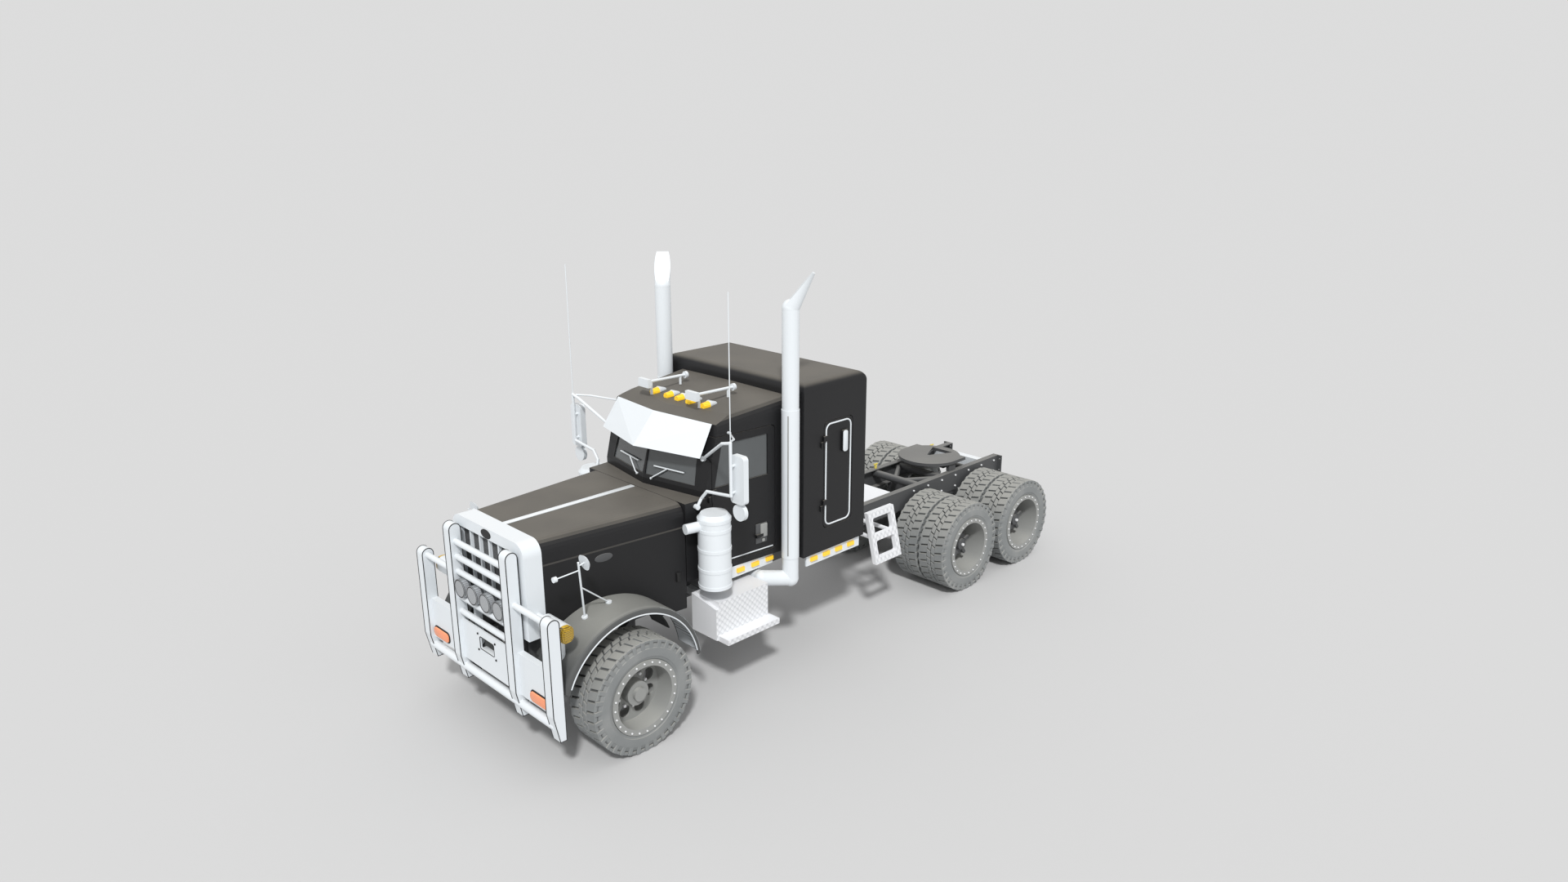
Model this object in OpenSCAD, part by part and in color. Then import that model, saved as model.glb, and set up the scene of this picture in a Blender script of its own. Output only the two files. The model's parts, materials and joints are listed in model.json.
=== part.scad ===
// Long-nose semi truck tractor: ladder frame, steered front axle, twin-wheel tandem,
// tilting hood behind a fold-down guard, day cab and sleeper. Front faces -Y, +X is the left side.

/* [Chassis] */
// Front axle to first drive axle
wheelbase = 5150; // [5000:10:5400]
// First to second drive axle
tandem = 1216; // [1190:2:1300]
// Centre line to the outer face of a rail
rail_outer = 440; // [425:1:450]
// Height of the rails' top
rail_top = 1190; // [1185:1:1195]
// Depth of a rail
rail_depth = 260; // [230:5:270]
// Width of a rail's flange
rail_flange = 85; // [70:1:95]
// Thickness of a rail's web and flanges
rail_t = 12; // [8:1:14]
// Overhang of the rails ahead of the front axle
front_overhang = 700; // [690:1:710]
// Overhang of the rails behind the last axle
rear_overhang = 584; // [575:1:620]

/* [Wheels] */
// Radius over the lugs
tyre_r = 573; // [560:1:575]
// Height of a lug
lug_h = 24; // [10:1:30]
// Width of a front tyre
front_tyre_w = 410; // [380:2:420]
// Width of a rear tyre
rear_tyre_w = 385; // [360:1:390]
// Gap between twin tyres
twin_gap = 20; // [10:1:40]
// Centre line to the outer face of the tyres
track_half = 1290; // [1280:1:1310]
// Radius of the rim's bead seat
rim_r = 330; // [310:1:340]
// Kingpin to centre line
kingpin_x = 850; // [840:1:860]
// Radius of an axle's spindle
spindle_r = 50; // [40:1:60]

/* [Cab] */
// Cab half width at the windshield
cab_half_front = 820; // [810:1:830]
// Cab half width at its rear wall
cab_half_rear = 920; // [900:1:922]
// Rear face of the cab
cab_rear = 2300; // [2295:1:2320]
// Height of the cab's roof at the rear
cab_roof_z = 3015; // [2960:5:3030]
// Thickness of cab and sleeper walls
wall = 40; // [25:1:50]
// Height of the cab's underside
cab_base = 1300; // [1290:1:1310]
// Sleeper half width
sleeper_half = 1113; // [1090:1:1130]
// Length of the sleeper
sleeper_len = 980; // [900:10:1100]
// Height of the sleeper's underside
sleeper_base = 1230; // [1225:1:1240]
// Height of the sleeper's roof
sleeper_roof_z = 3150; // [3060:5:3250]
// Glass thickness
glass_t = 8; // [5:1:12]
// Gap round a door
door_gap = 6; // [5:0.5:9]

/* [Hood] */
// Height of the hood's top
hood_top = 2130; // [2080:5:2140]
// Hood half width at the grille
hood_half_front = 630; // [610:1:650]
// Hood half width at the cowl
hood_half_rear = 800; // [780:1:812]
// Front face of the hood
hood_front = -600; // [-620:1:-590]
// Rear edge of the hood
hood_rear = 930; // [900:1:940]
// Thickness of hood and fender sheet
sheet = 14; // [8:1:20]
// Inner radius of the wheel arch
arch_r = 772; // [762:1:780]
// Outer face of the fenders
fender_outer = 1150; // [1120:1:1165]

/* [Guard] */
// Rear face of the guard's uprights
guard_rear = -810; // [-830:1:-806]
// Depth of an upright
guard_depth = 120; // [100:1:130]
// Width of an upright
guard_w = 115; // [100:1:120]
// Inner uprights to centre line
guard_in = 505; // [500:1:520]
// Outer uprights to centre line
guard_out = 1125; // [1110:1:1140]
// Radius of the guard's cross tubes
guard_tube_r = 30; // [24:1:34]

/* [Exhaust and air] */
// Radius of a stack
stack_r = 90; // [70:1:92]
// Radius of an air cleaner
cleaner_r = 171; // [150:1:172]

/* [Hidden] */
$fn = 48;

// Clearances: a running fit, a seat, a looser seat on a round face, and the room of one swinging piece past another
fit = 0.5;
seat = 0.3;
rest_gap = 0.8;
clear = 6;

// Every piece is drawn from the front axle, and the origin is under the middle of the truck
drive_y = wheelbase;
tag_y = wheelbase + tandem;
rail_front = -front_overhang;
rail_rear = tag_y + rear_overhang;
end_plate_t = 20;
end_holes = [80, 160];
end_hole_r = 11;
truck_front = guard_rear - guard_depth;
truck_rear = rail_rear + end_plate_t;
origin_y = (truck_front + truck_rear) / 2;
rail_low = rail_top - rail_depth;
web_in = rail_outer - rail_t;
hub_z = tyre_r;
far = 9000;

// Colours
black = [0.08, 0.08, 0.08];
white = [0.93, 0.94, 0.95];
steel = [0.30, 0.30, 0.31];
grey = [0.24, 0.25, 0.25];
rubber = [0.33, 0.34, 0.34];
amber = [0.98, 0.72, 0.08];
orange = [0.95, 0.45, 0.25];
glass = [0.25, 0.27, 0.28];

// Moves a piece drawn from the front axle to the truck's own origin
module from_axle() translate([0, -origin_y, 0]) children();

// A piece and its mirror image on the other side
module both() {
    children();
    mirror([1, 0, 0]) children();
}

// A left piece as it is, or mirrored for the right side
module on_side(side) mirror([side < 0 ? 1 : 0, 0, 0]) children();

// Extrudes an outline of X and Z along Y, and one of Y and Z along X
module along_y(y0, y1) translate([0, y1, 0]) rotate([90, 0, 0]) linear_extrude(y1 - y0) children();
module along_x(x0, x1) translate([x0, 0, 0]) rotate([90, 0, 90]) linear_extrude(x1 - x0) children();

// A block between two corners
module block(a, b) translate(a) cube(b - a);

// A round bar between two points
module bar(a, b, r) {
    d = b - a;
    translate(a) rotate([0, acos(d.z / norm(d)), atan2(d.y, d.x)]) cylinder(h = norm(d), r = r);
}

// A bent tube through points, with a ball a little larger than the tube at each bend
module tube(points, r) {
    for (i = [0:len(points) - 2]) bar(points[i], points[i + 1], r);
    for (i = [1:1:len(points) - 2]) translate(points[i]) sphere(r * 1.03);
}

// A drum about X, from x0 to x1
module drum_x(x0, x1, y, z, r) translate([x0, y, z]) rotate([0, 90, 0]) cylinder(h = x1 - x0, r = r);

// A rectangle with round corners between two corners
module rounded(a, b, r) {
    translate([a.x + r, a.y]) square([b.x - a.x - 2 * r, b.y - a.y]);
    translate([a.x, a.y + r]) square([b.x - a.x, b.y - a.y - 2 * r]);
    for (x = [a.x + r, b.x - r], y = [a.y + r, b.y - r]) translate([x, y]) circle(r);
}

// Points of an arc
function arc(c, r, a0, a1, n) = [for (i = [0:n]) let (a = a0 + (a1 - a0) * i / n) c + r * [cos(a), sin(a)]];

// A flat or slightly twisted plate on four corners, its thickness along t
module plate(q, t) hull() polyhedron(points = concat(q, [for (p = q) p + t]), faces = [[for (i = [0:7]) i]]);

// Pivots of the guard and the hood, as Y and Z, in plates bolted inside the rails' front ends
guard_pin = [guard_rear + 20, 520];
hood_pin = [-750, 830];
pin_r = 20;
mount_t = 35;
mount_nose = 40;

module frame_rails() color(steel) from_axle() both() {
    along_y(rail_front, rail_rear) difference() {
        translate([rail_outer - rail_flange, rail_low]) square([rail_flange, rail_depth]);
        translate([rail_outer - rail_flange - 1, rail_low + rail_t])
            square([rail_flange - rail_t + 1, rail_depth - 2 * rail_t]);
    }
    difference() {
        block([rail_outer - rail_flange, rail_rear, rail_low], [rail_outer + 60, truck_rear, rail_top]);
        for (x = [-1, 1], z = [-1, 1]) translate([rail_outer - 10 + x * end_holes.x / 2, truck_rear + 1,
            rail_low + rail_depth / 2 + z * end_holes.y / 2]) rotate([90, 0, 0]) cylinder(h = 60, r = end_hole_r);
    }
    difference() {
        along_x(web_in - mount_t, web_in) {
            polygon([[rail_front + 200, rail_top - rail_t - 5], [rail_front - 20, rail_top - rail_t - 5],
                [hood_pin.x - mount_nose, hood_pin.y + 60], [guard_pin.x - mount_nose, guard_pin.y],
                [guard_pin.x + mount_nose, guard_pin.y], [rail_front + 30, rail_low - 60],
                [rail_front + 60, rail_low + rail_t + 5], [rail_front + 200, rail_low + rail_t + 5]]);
            translate(guard_pin) circle(mount_nose);
            translate(hood_pin) circle(mount_nose);
        }
        for (p = [guard_pin, hood_pin])
            drum_x(web_in - mount_t - 1, web_in + 1, p.x, p.y, pin_r + fit);
    }
}

// Cross tubes between the rails' webs, as distances from the front axle
deck_front = wheelbase - 970;
deck_rear = wheelbase - 380;
hanger_y = 3300;
crossmember_y = [rail_front + 180, 1300, 2200, hanger_y, deck_front + 120, deck_rear - 70];
crossmember_top = rail_top - rail_t - 40;
crossmember_h = 150;
brace_y = wheelbase + 130;
trunnion_y = wheelbase + tandem / 2;

module crossmembers() color(steel) from_axle() {
    for (y = crossmember_y) difference() {
        half = y < rail_front + 250 ? web_in - mount_t : web_in;
        block([-half, y - 45, crossmember_top - crossmember_h], [half, y + 45, crossmember_top]);
        block([-far, y - 35, crossmember_top - crossmember_h + 10], [far, y + 35, crossmember_top - 10]);
    }
    for (y = [brace_y, trunnion_y, tag_y - 60]) drum_x(-web_in, web_in, y, rail_top - 70, 50);
    both() difference() {
        block([stand_x[0], coupling_y - 70, rail_top], [stand_x[1], coupling_y + 70, tilt_z + 36]);
        drum_x(0, far, coupling_y, tilt_z, tilt_r + fit);
    }
    both() bar([web_in - 60, trunnion_y - 10, rail_top - 70], [60, brace_y + 10, rail_top - 70], 35);
}

module rear_crossmember() color(white) from_axle() {
    along_x(-web_in, web_in) translate([tag_y + 250, rail_top - rail_t - 145]) difference() {
        square([110, 140]);
        translate([10, 10]) square([101, 120]);
    }
}

engine_front = -350;
engine_rear = 900;
module engine() color(steel) from_axle() {
    block([-300, engine_front, 800], [300, engine_rear, 1500]);
    block([-210, engine_front + 60, 1500], [210, engine_rear - 120, 1800]);
    both() block([300, 150, rail_low + 20], [web_in, 290, rail_low + 120]);
}

module radiator() color(black) from_axle() block([-480, -560, rail_top], [480, -470, 1980]);

// Gearbox and the shafts to both drive axles
shaft_r = 55;
axle_tube_r = 70;
diff_r = 190;
diff_half = 150;
gearbox_rear = engine_rear + 900;
gearbox_top = crossmember_top - crossmember_h - 8;
shaft_z = gearbox_top - 100;
pinion_z = hub_z + 60;
pinion_y = drive_y - diff_r - 80;
joint_r = shaft_r + 35;
module driveline() color(steel) from_axle() {
    block([-230, engine_rear, 820], [230, engine_rear + 250, 1130]);
    block([-180, engine_rear + 250, gearbox_top - 230], [180, gearbox_rear, gearbox_top]);
    bar([0, gearbox_rear - 5, shaft_z], [0, hanger_y, shaft_z - 20], shaft_r);
    bar([0, hanger_y, shaft_z - 20], [0, pinion_y - joint_r - 5, pinion_z], shaft_r);
    translate([0, pinion_y - joint_r, pinion_z]) rotate([-90, 0, 0]) cylinder(h = joint_r, r = shaft_r + 10);
    bar([0, drive_y + diff_r + seat, pinion_z], [0, pinion_y + tandem, pinion_z], shaft_r);
    for (p = [[hanger_y, shaft_z - 20], [pinion_y - joint_r - 5, pinion_z], [gearbox_rear + joint_r, shaft_z - 1]])
        translate([0, p.x, p.y]) sphere(joint_r);
    block([-40, hanger_y - 30, shaft_z - 15], [40, hanger_y + 30, crossmember_top - crossmember_h]);
}

// Beam of the front axle, with an eye for each kingpin
eye_r = 55;
eye_h = 120;
kingpin_r = 27;
spring_x = rail_outer - rail_flange / 2;
module front_axle() color(steel) from_axle() difference() {
    union() {
        block([-kingpin_x, -45, hub_z - eye_h / 2 + 5], [kingpin_x, 45, hub_z + eye_h / 2 - 5]);
        both() translate([kingpin_x, 0, hub_z - eye_h / 2]) cylinder(h = eye_h, r = eye_r);
        both() block([spring_x - 60, -70, hub_z + eye_h / 2 - 6], [spring_x + 60, 70, hub_z + eye_h / 2 + 20]);
    }
    both() translate([kingpin_x, 0, 0]) cylinder(h = far, r = kingpin_r + fit);
}

// Front leaf packs under the rails, and walking beams hung from the trunnion at the rear
spring_half = 550;
spring_low = hub_z + eye_h / 2 + 20;
spring_arc = 700;
leaf_t = 45;
beam_x = rail_outer - 50;
beam_low = hub_z - axle_tube_r - 110;
module suspension() color(steel) from_axle() both() {
    along_x(spring_x - 40, spring_x + 40) intersection() {
        translate([0, spring_low + spring_arc]) difference() {
            circle(spring_arc);
            circle(spring_arc - leaf_t);
        }
        translate([-spring_half, spring_low]) square([2 * spring_half, rail_low - spring_low - seat]);
    }
    for (y = [-spring_half + 40, spring_half - 40])
        block([spring_x - 30, y - 40, rail_low - 170], [spring_x + 30, y + 40, rail_low]);
    along_x(beam_x - 25, beam_x + 25) polygon([[drive_y - 110, beam_low + 10],
        [drive_y - 110, hub_z - axle_tube_r], [drive_y + 110, hub_z - axle_tube_r],
        [trunnion_y, hub_z - axle_tube_r - 20], [tag_y - 110, hub_z - axle_tube_r],
        [tag_y + 110, hub_z - axle_tube_r], [tag_y + 110, beam_low + 10], [trunnion_y, beam_low - 30]]);
    along_x(beam_x - 35, beam_x + 35) polygon([[trunnion_y - 190, rail_low], [trunnion_y + 190, rail_low],
        [trunnion_y + 80, hub_z - axle_tube_r - 30], [trunnion_y - 80, hub_z - axle_tube_r - 30]]);
}

// Planes of a wheel: middle of a front tyre, and the parting plane of a pair of rear tyres
front_mid = track_half - front_tyre_w / 2;
twin_mid = track_half - rear_tyre_w - twin_gap / 2;
hub_r = 120;
spindle_tip = 40;

module rear_axles() color(steel) from_axle() for (y = [drive_y, tag_y]) {
    drum_x(-twin_mid + 60, twin_mid - 60, y, hub_z, axle_tube_r);
    drum_x(-twin_mid - spindle_tip, twin_mid + spindle_tip, y, hub_z, spindle_r);
    drum_x(-diff_half, diff_half, y, hub_z, diff_r);
    translate([0, y - diff_r - 80, hub_z + 60]) rotate([-90, 0, 0]) cylinder(h = diff_r + 80, r = 80);
}

// Knuckle: kingpin, upper and lower lug, brake plate, spindle and steering arm
lug_out = kingpin_x + 75;
arm_end = [kingpin_x, 200];
arm_z = hub_z - eye_h / 2 - 45;
rod_pin_r = 14;
module knuckle(side) color(steel) from_axle() on_side(side) {
    translate([kingpin_x, 0, hub_z - eye_h / 2 - 70]) cylinder(h = eye_h + 140, r = kingpin_r);
    for (z = [hub_z - eye_h / 2 - 65, hub_z + eye_h / 2 + 5])
        block([kingpin_x - 45, -45, z], [lug_out, 45, z + 60]);
    drum_x(lug_out - 5, lug_out + 20, 0, hub_z, 190);
    drum_x(lug_out, front_mid + spindle_tip, 0, hub_z, spindle_r);
    block([arm_end.x - 35, -45, arm_z - 15], [kingpin_x + 30, arm_end.y + 35, arm_z + 15]);
    translate([arm_end.x, arm_end.y, arm_z - 90]) cylinder(h = 90, r = rod_pin_r);
}
module knuckle_left() knuckle(1);
module knuckle_right() knuckle(-1);

// Track rod between the pins of the two steering arms
rod_z = arm_z - 60;
module tie_rod() color(steel) from_axle() difference() {
    union() {
        drum_x(-arm_end.x, arm_end.x, arm_end.y, rod_z, 24);
        both() translate([arm_end.x, arm_end.y, rod_z - 28]) cylinder(h = 56, r = 30);
    }
    both() translate([arm_end.x, arm_end.y, 0]) cylinder(h = far, r = rod_pin_r + fit);
}

// Turns a wheel drawn about Z, with its outside up, onto the axle at x and y
module wheel_at(x, y) translate([x, y, hub_z]) rotate([0, 90, 0]) children();

// Tyre: sidewalls bulge past the rim's flanges, and lugs stand on the tread in three staggered rows
flange_t = 22;
flange_h = 45;
lugs = 20;
lug_share = 0.68;
module tread_row(z0, z1, turn) translate([0, 0, z0]) rotate(turn) linear_extrude(z1 - z0) difference() {
    circle(tyre_r);
    circle(tyre_r - lug_h - 15);
    for (i = [0:lugs - 1]) rotate(i * 360 / lugs)
        translate([tyre_r - lug_h, -PI * tyre_r / lugs * (1 - lug_share)])
            square([2 * lug_h, 2 * PI * tyre_r / lugs * (1 - lug_share)]);
}
module tyre(w) {
    carcass_r = tyre_r - lug_h;
    bead = w / 2 - flange_t - seat;
    rotate_extrude($fn = 64) polygon([[rim_r + seat, -bead], [rim_r + flange_h, -bead],
        [rim_r + flange_h + 40, -w / 2 + 6], [rim_r + 120, -w / 2], [carcass_r - 40, -w / 2 + 8],
        [carcass_r, -w / 2 + 30], [carcass_r, w / 2 - 30], [carcass_r - 40, w / 2 - 8],
        [rim_r + 120, w / 2], [rim_r + flange_h + 40, w / 2 - 6], [rim_r + flange_h, bead],
        [rim_r + seat, bead]]);
    shoulder = w * 0.3;
    tread_row(-w / 2 + 14, -w / 2 + shoulder, 0);
    tread_row(-w / 2 + shoulder + 14, w / 2 - shoulder - 14, 180 / lugs);
    tread_row(w / 2 - shoulder, w / 2 - 14, 0);
}

// Open rim: flanged barrel, a dished disc with round windows, and a hub bored for the spindle
barrel_t = 14;
disc_t = 18;
windows = 8;
module rim(w, disc_z, hub_top, bore_top) difference() {
    rotate_extrude($fn = 64) {
        for (s = [1, -1]) translate([rim_r - barrel_t, s > 0 ? w / 2 - flange_t : -w / 2])
            square([barrel_t + flange_h, flange_t]);
        translate([rim_r - barrel_t, -w / 2]) square([barrel_t, w]);
        translate([0, disc_z]) square([rim_r - 1, disc_t]);
        translate([0, disc_z]) square([hub_r, hub_top - disc_z]);
        translate([0, hub_top - 1]) square([hub_r * 0.55, 40]);
    }
    for (i = [0:windows - 1]) rotate((i + 0.5) * 360 / windows)
        translate([(rim_r + hub_r) / 2 - 4, 0, disc_z - 1]) cylinder(h = disc_t + 2, r = 62);
    translate([0, 0, -far / 2]) cylinder(h = far / 2 + bore_top, r = spindle_r + fit);
}
module front_tyre(side) color(rubber) from_axle() on_side(side) wheel_at(front_mid, 0) tyre(front_tyre_w);
module front_rim(side) color(grey) from_axle() on_side(side)
    wheel_at(front_mid, 0) rim(front_tyre_w, -35, 90, spindle_tip + 4);
module front_tyre_left() front_tyre(1);
module front_tyre_right() front_tyre(-1);
module front_rim_left() front_rim(1);
module front_rim_right() front_rim(-1);

// Twin wheels: two tyres on two rims, whose discs meet on one hub
twin_step = (rear_tyre_w + twin_gap) / 2;
module twin_tyres(side, y) color(rubber) from_axle() on_side(side)
    for (s = [1, -1]) wheel_at(twin_mid + s * twin_step, y) tyre(rear_tyre_w);
module twin_rims(side, y) color(grey) from_axle() on_side(side) wheel_at(twin_mid, y) {
    translate([0, 0, twin_step]) rim(rear_tyre_w, -twin_step - 0.5, -twin_step + 120, -twin_step + spindle_tip + 4);
    translate([0, 0, -twin_step]) rim(rear_tyre_w, twin_step - disc_t, twin_step - 1, 2 * twin_step + 4);
}
module drive_tyres_left() twin_tyres(1, drive_y);
module drive_tyres_right() twin_tyres(-1, drive_y);
module drive_rims_left() twin_rims(1, drive_y);
module drive_rims_right() twin_rims(-1, drive_y);
module tag_tyres_left() twin_tyres(1, tag_y);
module tag_tyres_right() twin_tyres(-1, tag_y);
module tag_rims_left() twin_rims(1, tag_y);
module tag_rims_right() twin_rims(-1, tag_y);

// Cab body: sides that widen rearwards, a pitched roof with round shoulders, and a V front
cab_side_front = 1100;
cab_taper = atan((cab_half_rear - cab_half_front) / (cab_rear - cab_side_front));
roof_pitch = 6;
shoulder_r = 150;
screen_low = [1041, 2194];
screen_high = [1211, 2857];
screen_rake = atan((screen_high.x - screen_low.x) / (screen_high.y - screen_low.y));
screen_v = 10;
cowl_top = hood_top;
door_front = 1270;
door_rear = 2080;
door_low = 1370;
roof_seam = cab_roof_z - 225;
door_high = roof_seam - 55;
door_in = cab_half_front - 100;

// Half space under the roof and inside the left wall, pulled in by d
module cab_half_space(d) translate([cab_half_rear, cab_rear, cab_roof_z]) rotate([roof_pitch, 0, -cab_taper])
    along_y(-far, far) polygon(concat([[-d, -far]],
        arc([-d - shoulder_r, -d - shoulder_r], shoulder_r, 0, 90, 6), [[-far, -d], [-far, -far]]));
module cab_form(d) {
    intersection() {
        cab_half_space(d);
        mirror([1, 0, 0]) cab_half_space(d);
        union() {
            intersection_for(s = [1, -1]) translate([0, screen_low.x, 0]) rotate(s * screen_v)
                along_x(-far, far) polygon([[d, cab_base + d], [d, screen_low.y],
                    [d + screen_high.x - screen_low.x, screen_high.y - d / 2],
                    [d + 500, 2960], [d + 700, far], [far, far], [far, cab_base + d]]);
            block([-far, hood_rear + 5 + d, cab_base + d], [far, screen_low.x + 400, cowl_top - d]);
        }
        block([-far, 0, 0], [far, cab_rear - d, 2 * far]);
    }
}
pass_half = 420;
pass_top = roof_seam - 90;
module cab_walls() difference() {
    cab_form(0);
    cab_form(wall);
    block([-pass_half, cab_rear - wall - 5, cab_base + wall + 60], [pass_half, cab_rear + 5, pass_top]);
}
// Left door's outline and its window, both as Y and Z
window_top = door_high - 80;
window = [[1300, 2215], [1395, window_top], [1985, window_top], [1985, 2215]];
module door_outline(d) rounded([door_front - d, door_low - d], [door_rear + d, door_high + d], 50);

// One half of the split windshield in its own plane: u from the centre post, v up the screen
pane = [[24, 40], [690, 40], [655, 590], [24, 590]];
module on_screen(s) translate([0, screen_low.x, screen_low.y]) rotate(s * screen_v)
    rotate([90 - screen_rake, 0, 0]) mirror([s < 0 ? 1 : 0, 0, 0]) children();
module pane_prism(z0, z1, d) translate([0, 0, z0]) linear_extrude(z1 - z0)
    polygon([pane[0] + [d, d], pane[1] + [-d, d], pane[2] + [-d, -d], pane[3] + [d, -d]]);

module cab_floor() color(black) from_axle() {
    intersection() {
        difference() {
            cab_form(0);
            cab_form(wall);
        }
        block([-far, 0, cab_base - 1], [far, far, cab_base + wall]);
    }
    for (y = [1250, 2200]) both()
        block([web_in - 70, y - 50, rail_top], [web_in, y + 50, cab_base]);
}

module cab_shell() color(black) from_axle() difference() {
    union() {
        intersection() {
            cab_walls();
            block([-far, 0, cab_base + wall], [far, far, roof_seam]);
        }
        both() for (z = door_hinge_z) hinge_lug(cab_hinge, z);
    }
    both() along_x(door_in, far) door_outline(door_gap);
    for (s = [1, -1]) on_screen(s) pane_prism(-300, 60, 0);
    both() for (z = door_hinge_z) hinge_bore(cab_hinge, z);
}
module cab_roof() color(black) from_axle() intersection() {
    cab_walls();
    block([-far, 0, roof_seam], [far, far, 2 * far]);
}
module windshield() color(glass) from_axle()
    for (s = [1, -1]) on_screen(s) pane_prism(-12 - glass_t, -12, seat);

// Hinge of a side door, on an axis outside the wall: a lug on the body and a knuckle on the door
hinge_out = 18;
hinge_r = 11;
hinge_pin_r = 6;
lug_len = 60;
cab_hinge = [cab_half_front + (door_front - cab_side_front) * tan(cab_taper) + hinge_out, door_front - 16];
door_hinge_z = [1560, 2080];
sleeper_front = cab_rear;
sleeper_rear = sleeper_front + sleeper_len;
sleeper_seam = sleeper_roof_z - 190;
hatch = [[sleeper_front + 310, sleeper_base + 260], [sleeper_rear - 220, sleeper_seam - 270]];
hatch_hinge = [sleeper_half + hinge_out, hatch[0].x - 16];
hatch_hinge_z = [1700, 2420];
module hinge_lug(p, z) {
    translate([p.x, p.y, z]) cylinder(h = lug_len, r = hinge_r);
    block([p.x - hinge_out - 12, p.y - 40, z], [p.x, p.y - 4, z + lug_len]);
}
module hinge_bore(p, z) translate([p.x, p.y, z - 1]) cylinder(h = lug_len + 2, r = hinge_pin_r + seat);
module hinge_knuckle(p, z) {
    translate([p.x, p.y, z + lug_len + fit]) cylinder(h = lug_len, r = hinge_r);
    translate([p.x, p.y, z + 2]) cylinder(h = lug_len, r = hinge_pin_r);
    block([p.x - hinge_out - 12, p.y + 18, z + lug_len + fit], [p.x - 4, p.y + 60, z + 2 * lug_len]);
    block([p.x - hinge_out + 6, p.y, z + lug_len + fit], [p.x, p.y + 60, z + 2 * lug_len]);
}
module door(side) color(black) from_axle() on_side(side) {
    difference() {
        intersection() {
            cab_walls();
            along_x(door_in, far) door_outline(0);
        }
        along_x(door_in, far) polygon(window);
    }
    for (z = door_hinge_z) hinge_knuckle(cab_hinge, z);
    translate([cab_half_rear - 42, 1810, 1545]) cube([35, 150, 35]);
}
module door_left() door(1);
module door_right() door(-1);
module door_glass(side) color(glass) from_axle() on_side(side) intersection() {
    difference() {
        cab_form(12);
        cab_form(12 + glass_t);
    }
    along_x(600, far) polygon([window[0] + [seat, seat], window[1] + [seat, -seat],
        window[2] + [-seat, -seat], window[3] + [-seat, seat]]);
}
module door_glass_left() door_glass(1);
module door_glass_right() door_glass(-1);

seat_y = 1880;
module seats() color(grey) from_axle() for (x = [-430, 430]) {
    block([x - 160, seat_y - 180, cab_base + wall + seat], [x + 160, seat_y + 180, cab_base + 300]);
    along_x(x - 250, x + 250) rounded([seat_y - 260, cab_base + 300], [seat_y + 230, cab_base + 450], 60);
    along_x(x - 240, x + 240) polygon([[seat_y + 120, cab_base + 440], [seat_y + 230, cab_base + 440],
        [seat_y + 330, cab_base + 1120], [seat_y + 240, cab_base + 1120]]);
}
dash_rear = 1330;
module dashboard() color(black) from_axle() {
    intersection() {
        cab_form(wall);
        along_x(-far, far) polygon([[900, 1750], [dash_rear - 60, 1750], [dash_rear, 1900],
            [dash_rear - 40, 2100], [900, 2085]]);
    }
    bar([430, dash_rear - 60, 1900], [430, seat_y - 290, 2060], 30);
    translate([430, seat_y - 290, 2060]) rotate([-60, 0, 0]) {
        rotate_extrude() translate([215, 0]) circle(18);
        translate([-210, -20, -8]) cube([420, 40, 16]);
    }
}

// Drop visor: one sheet for each half of the screen
visor_t = 12;
module visor() color(white) from_axle() both()
    plate([[0, 1202, 2868], [772, 1325, 2850], [804, 1139, 2556], [0, 933, 2560]], [0, visor_t, visor_t]);

module wipers() color(white) from_axle() for (s = [1, -1]) on_screen(s) {
    translate([120, 10, seat]) cylinder(h = 14, r = 12);
    tube([[120, 10, 9], [150, 30, 18], [330, 150, 14]], 7);
    translate([140, 140, 0.5]) cube([400, 12, 16]);
}

module sleeper_form(d) intersection() {
    along_y(sleeper_front + d, sleeper_rear - d) {
        rounded([-sleeper_half + d, sleeper_base + d], [sleeper_half - d, sleeper_roof_z - d], 110 - d);
        translate([-sleeper_half + d, sleeper_base + d]) square([2 * (sleeper_half - d), 300]);
    }
    along_x(-far, far) {
        rounded([sleeper_front + d, sleeper_base + d], [sleeper_rear - d, sleeper_roof_z - d], 100 - d);
        translate([sleeper_front + d, sleeper_base + d]) square([sleeper_len - 2 * d, 300]);
    }
}
module sleeper_walls() difference() {
    sleeper_form(0);
    sleeper_form(wall);
    block([-pass_half, sleeper_front - 5, cab_base + wall + 60], [pass_half, sleeper_front + wall + 5, pass_top]);
}
module hatch_outline(d) rounded(hatch[0] - [d, d], hatch[1] + [d, d], 60);
module sleeper_shell() color(black) from_axle() difference() {
    union() {
        intersection() {
            sleeper_walls();
            block([-far, 0, 0], [far, far, sleeper_seam]);
        }
        both() for (z = hatch_hinge_z) hinge_lug(hatch_hinge, z);
        both() block([web_in - 70, sleeper_rear - 200, rail_top], [web_in, sleeper_rear - 80, sleeper_base]);
    }
    both() along_x(600, far) hatch_outline(door_gap);
    both() for (z = hatch_hinge_z) hinge_bore(hatch_hinge, z);
}
module sleeper_roof() color(black) from_axle() intersection() {
    sleeper_walls();
    block([-far, 0, sleeper_seam], [far, far, 2 * far]);
}
module sleeper_door(side) color(black) from_axle() on_side(side) {
    intersection() {
        sleeper_walls();
        along_x(600, far) hatch_outline(0);
    }
    for (z = hatch_hinge_z) hinge_knuckle(hatch_hinge, z);
    along_x(sleeper_half - 5, sleeper_half + 22) rounded(hatch[1] - [180, 380], hatch[1] - [75, 140], 20);
}
module sleeper_door_left() sleeper_door(1);
module sleeper_door_right() sleeper_door(-1);

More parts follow.
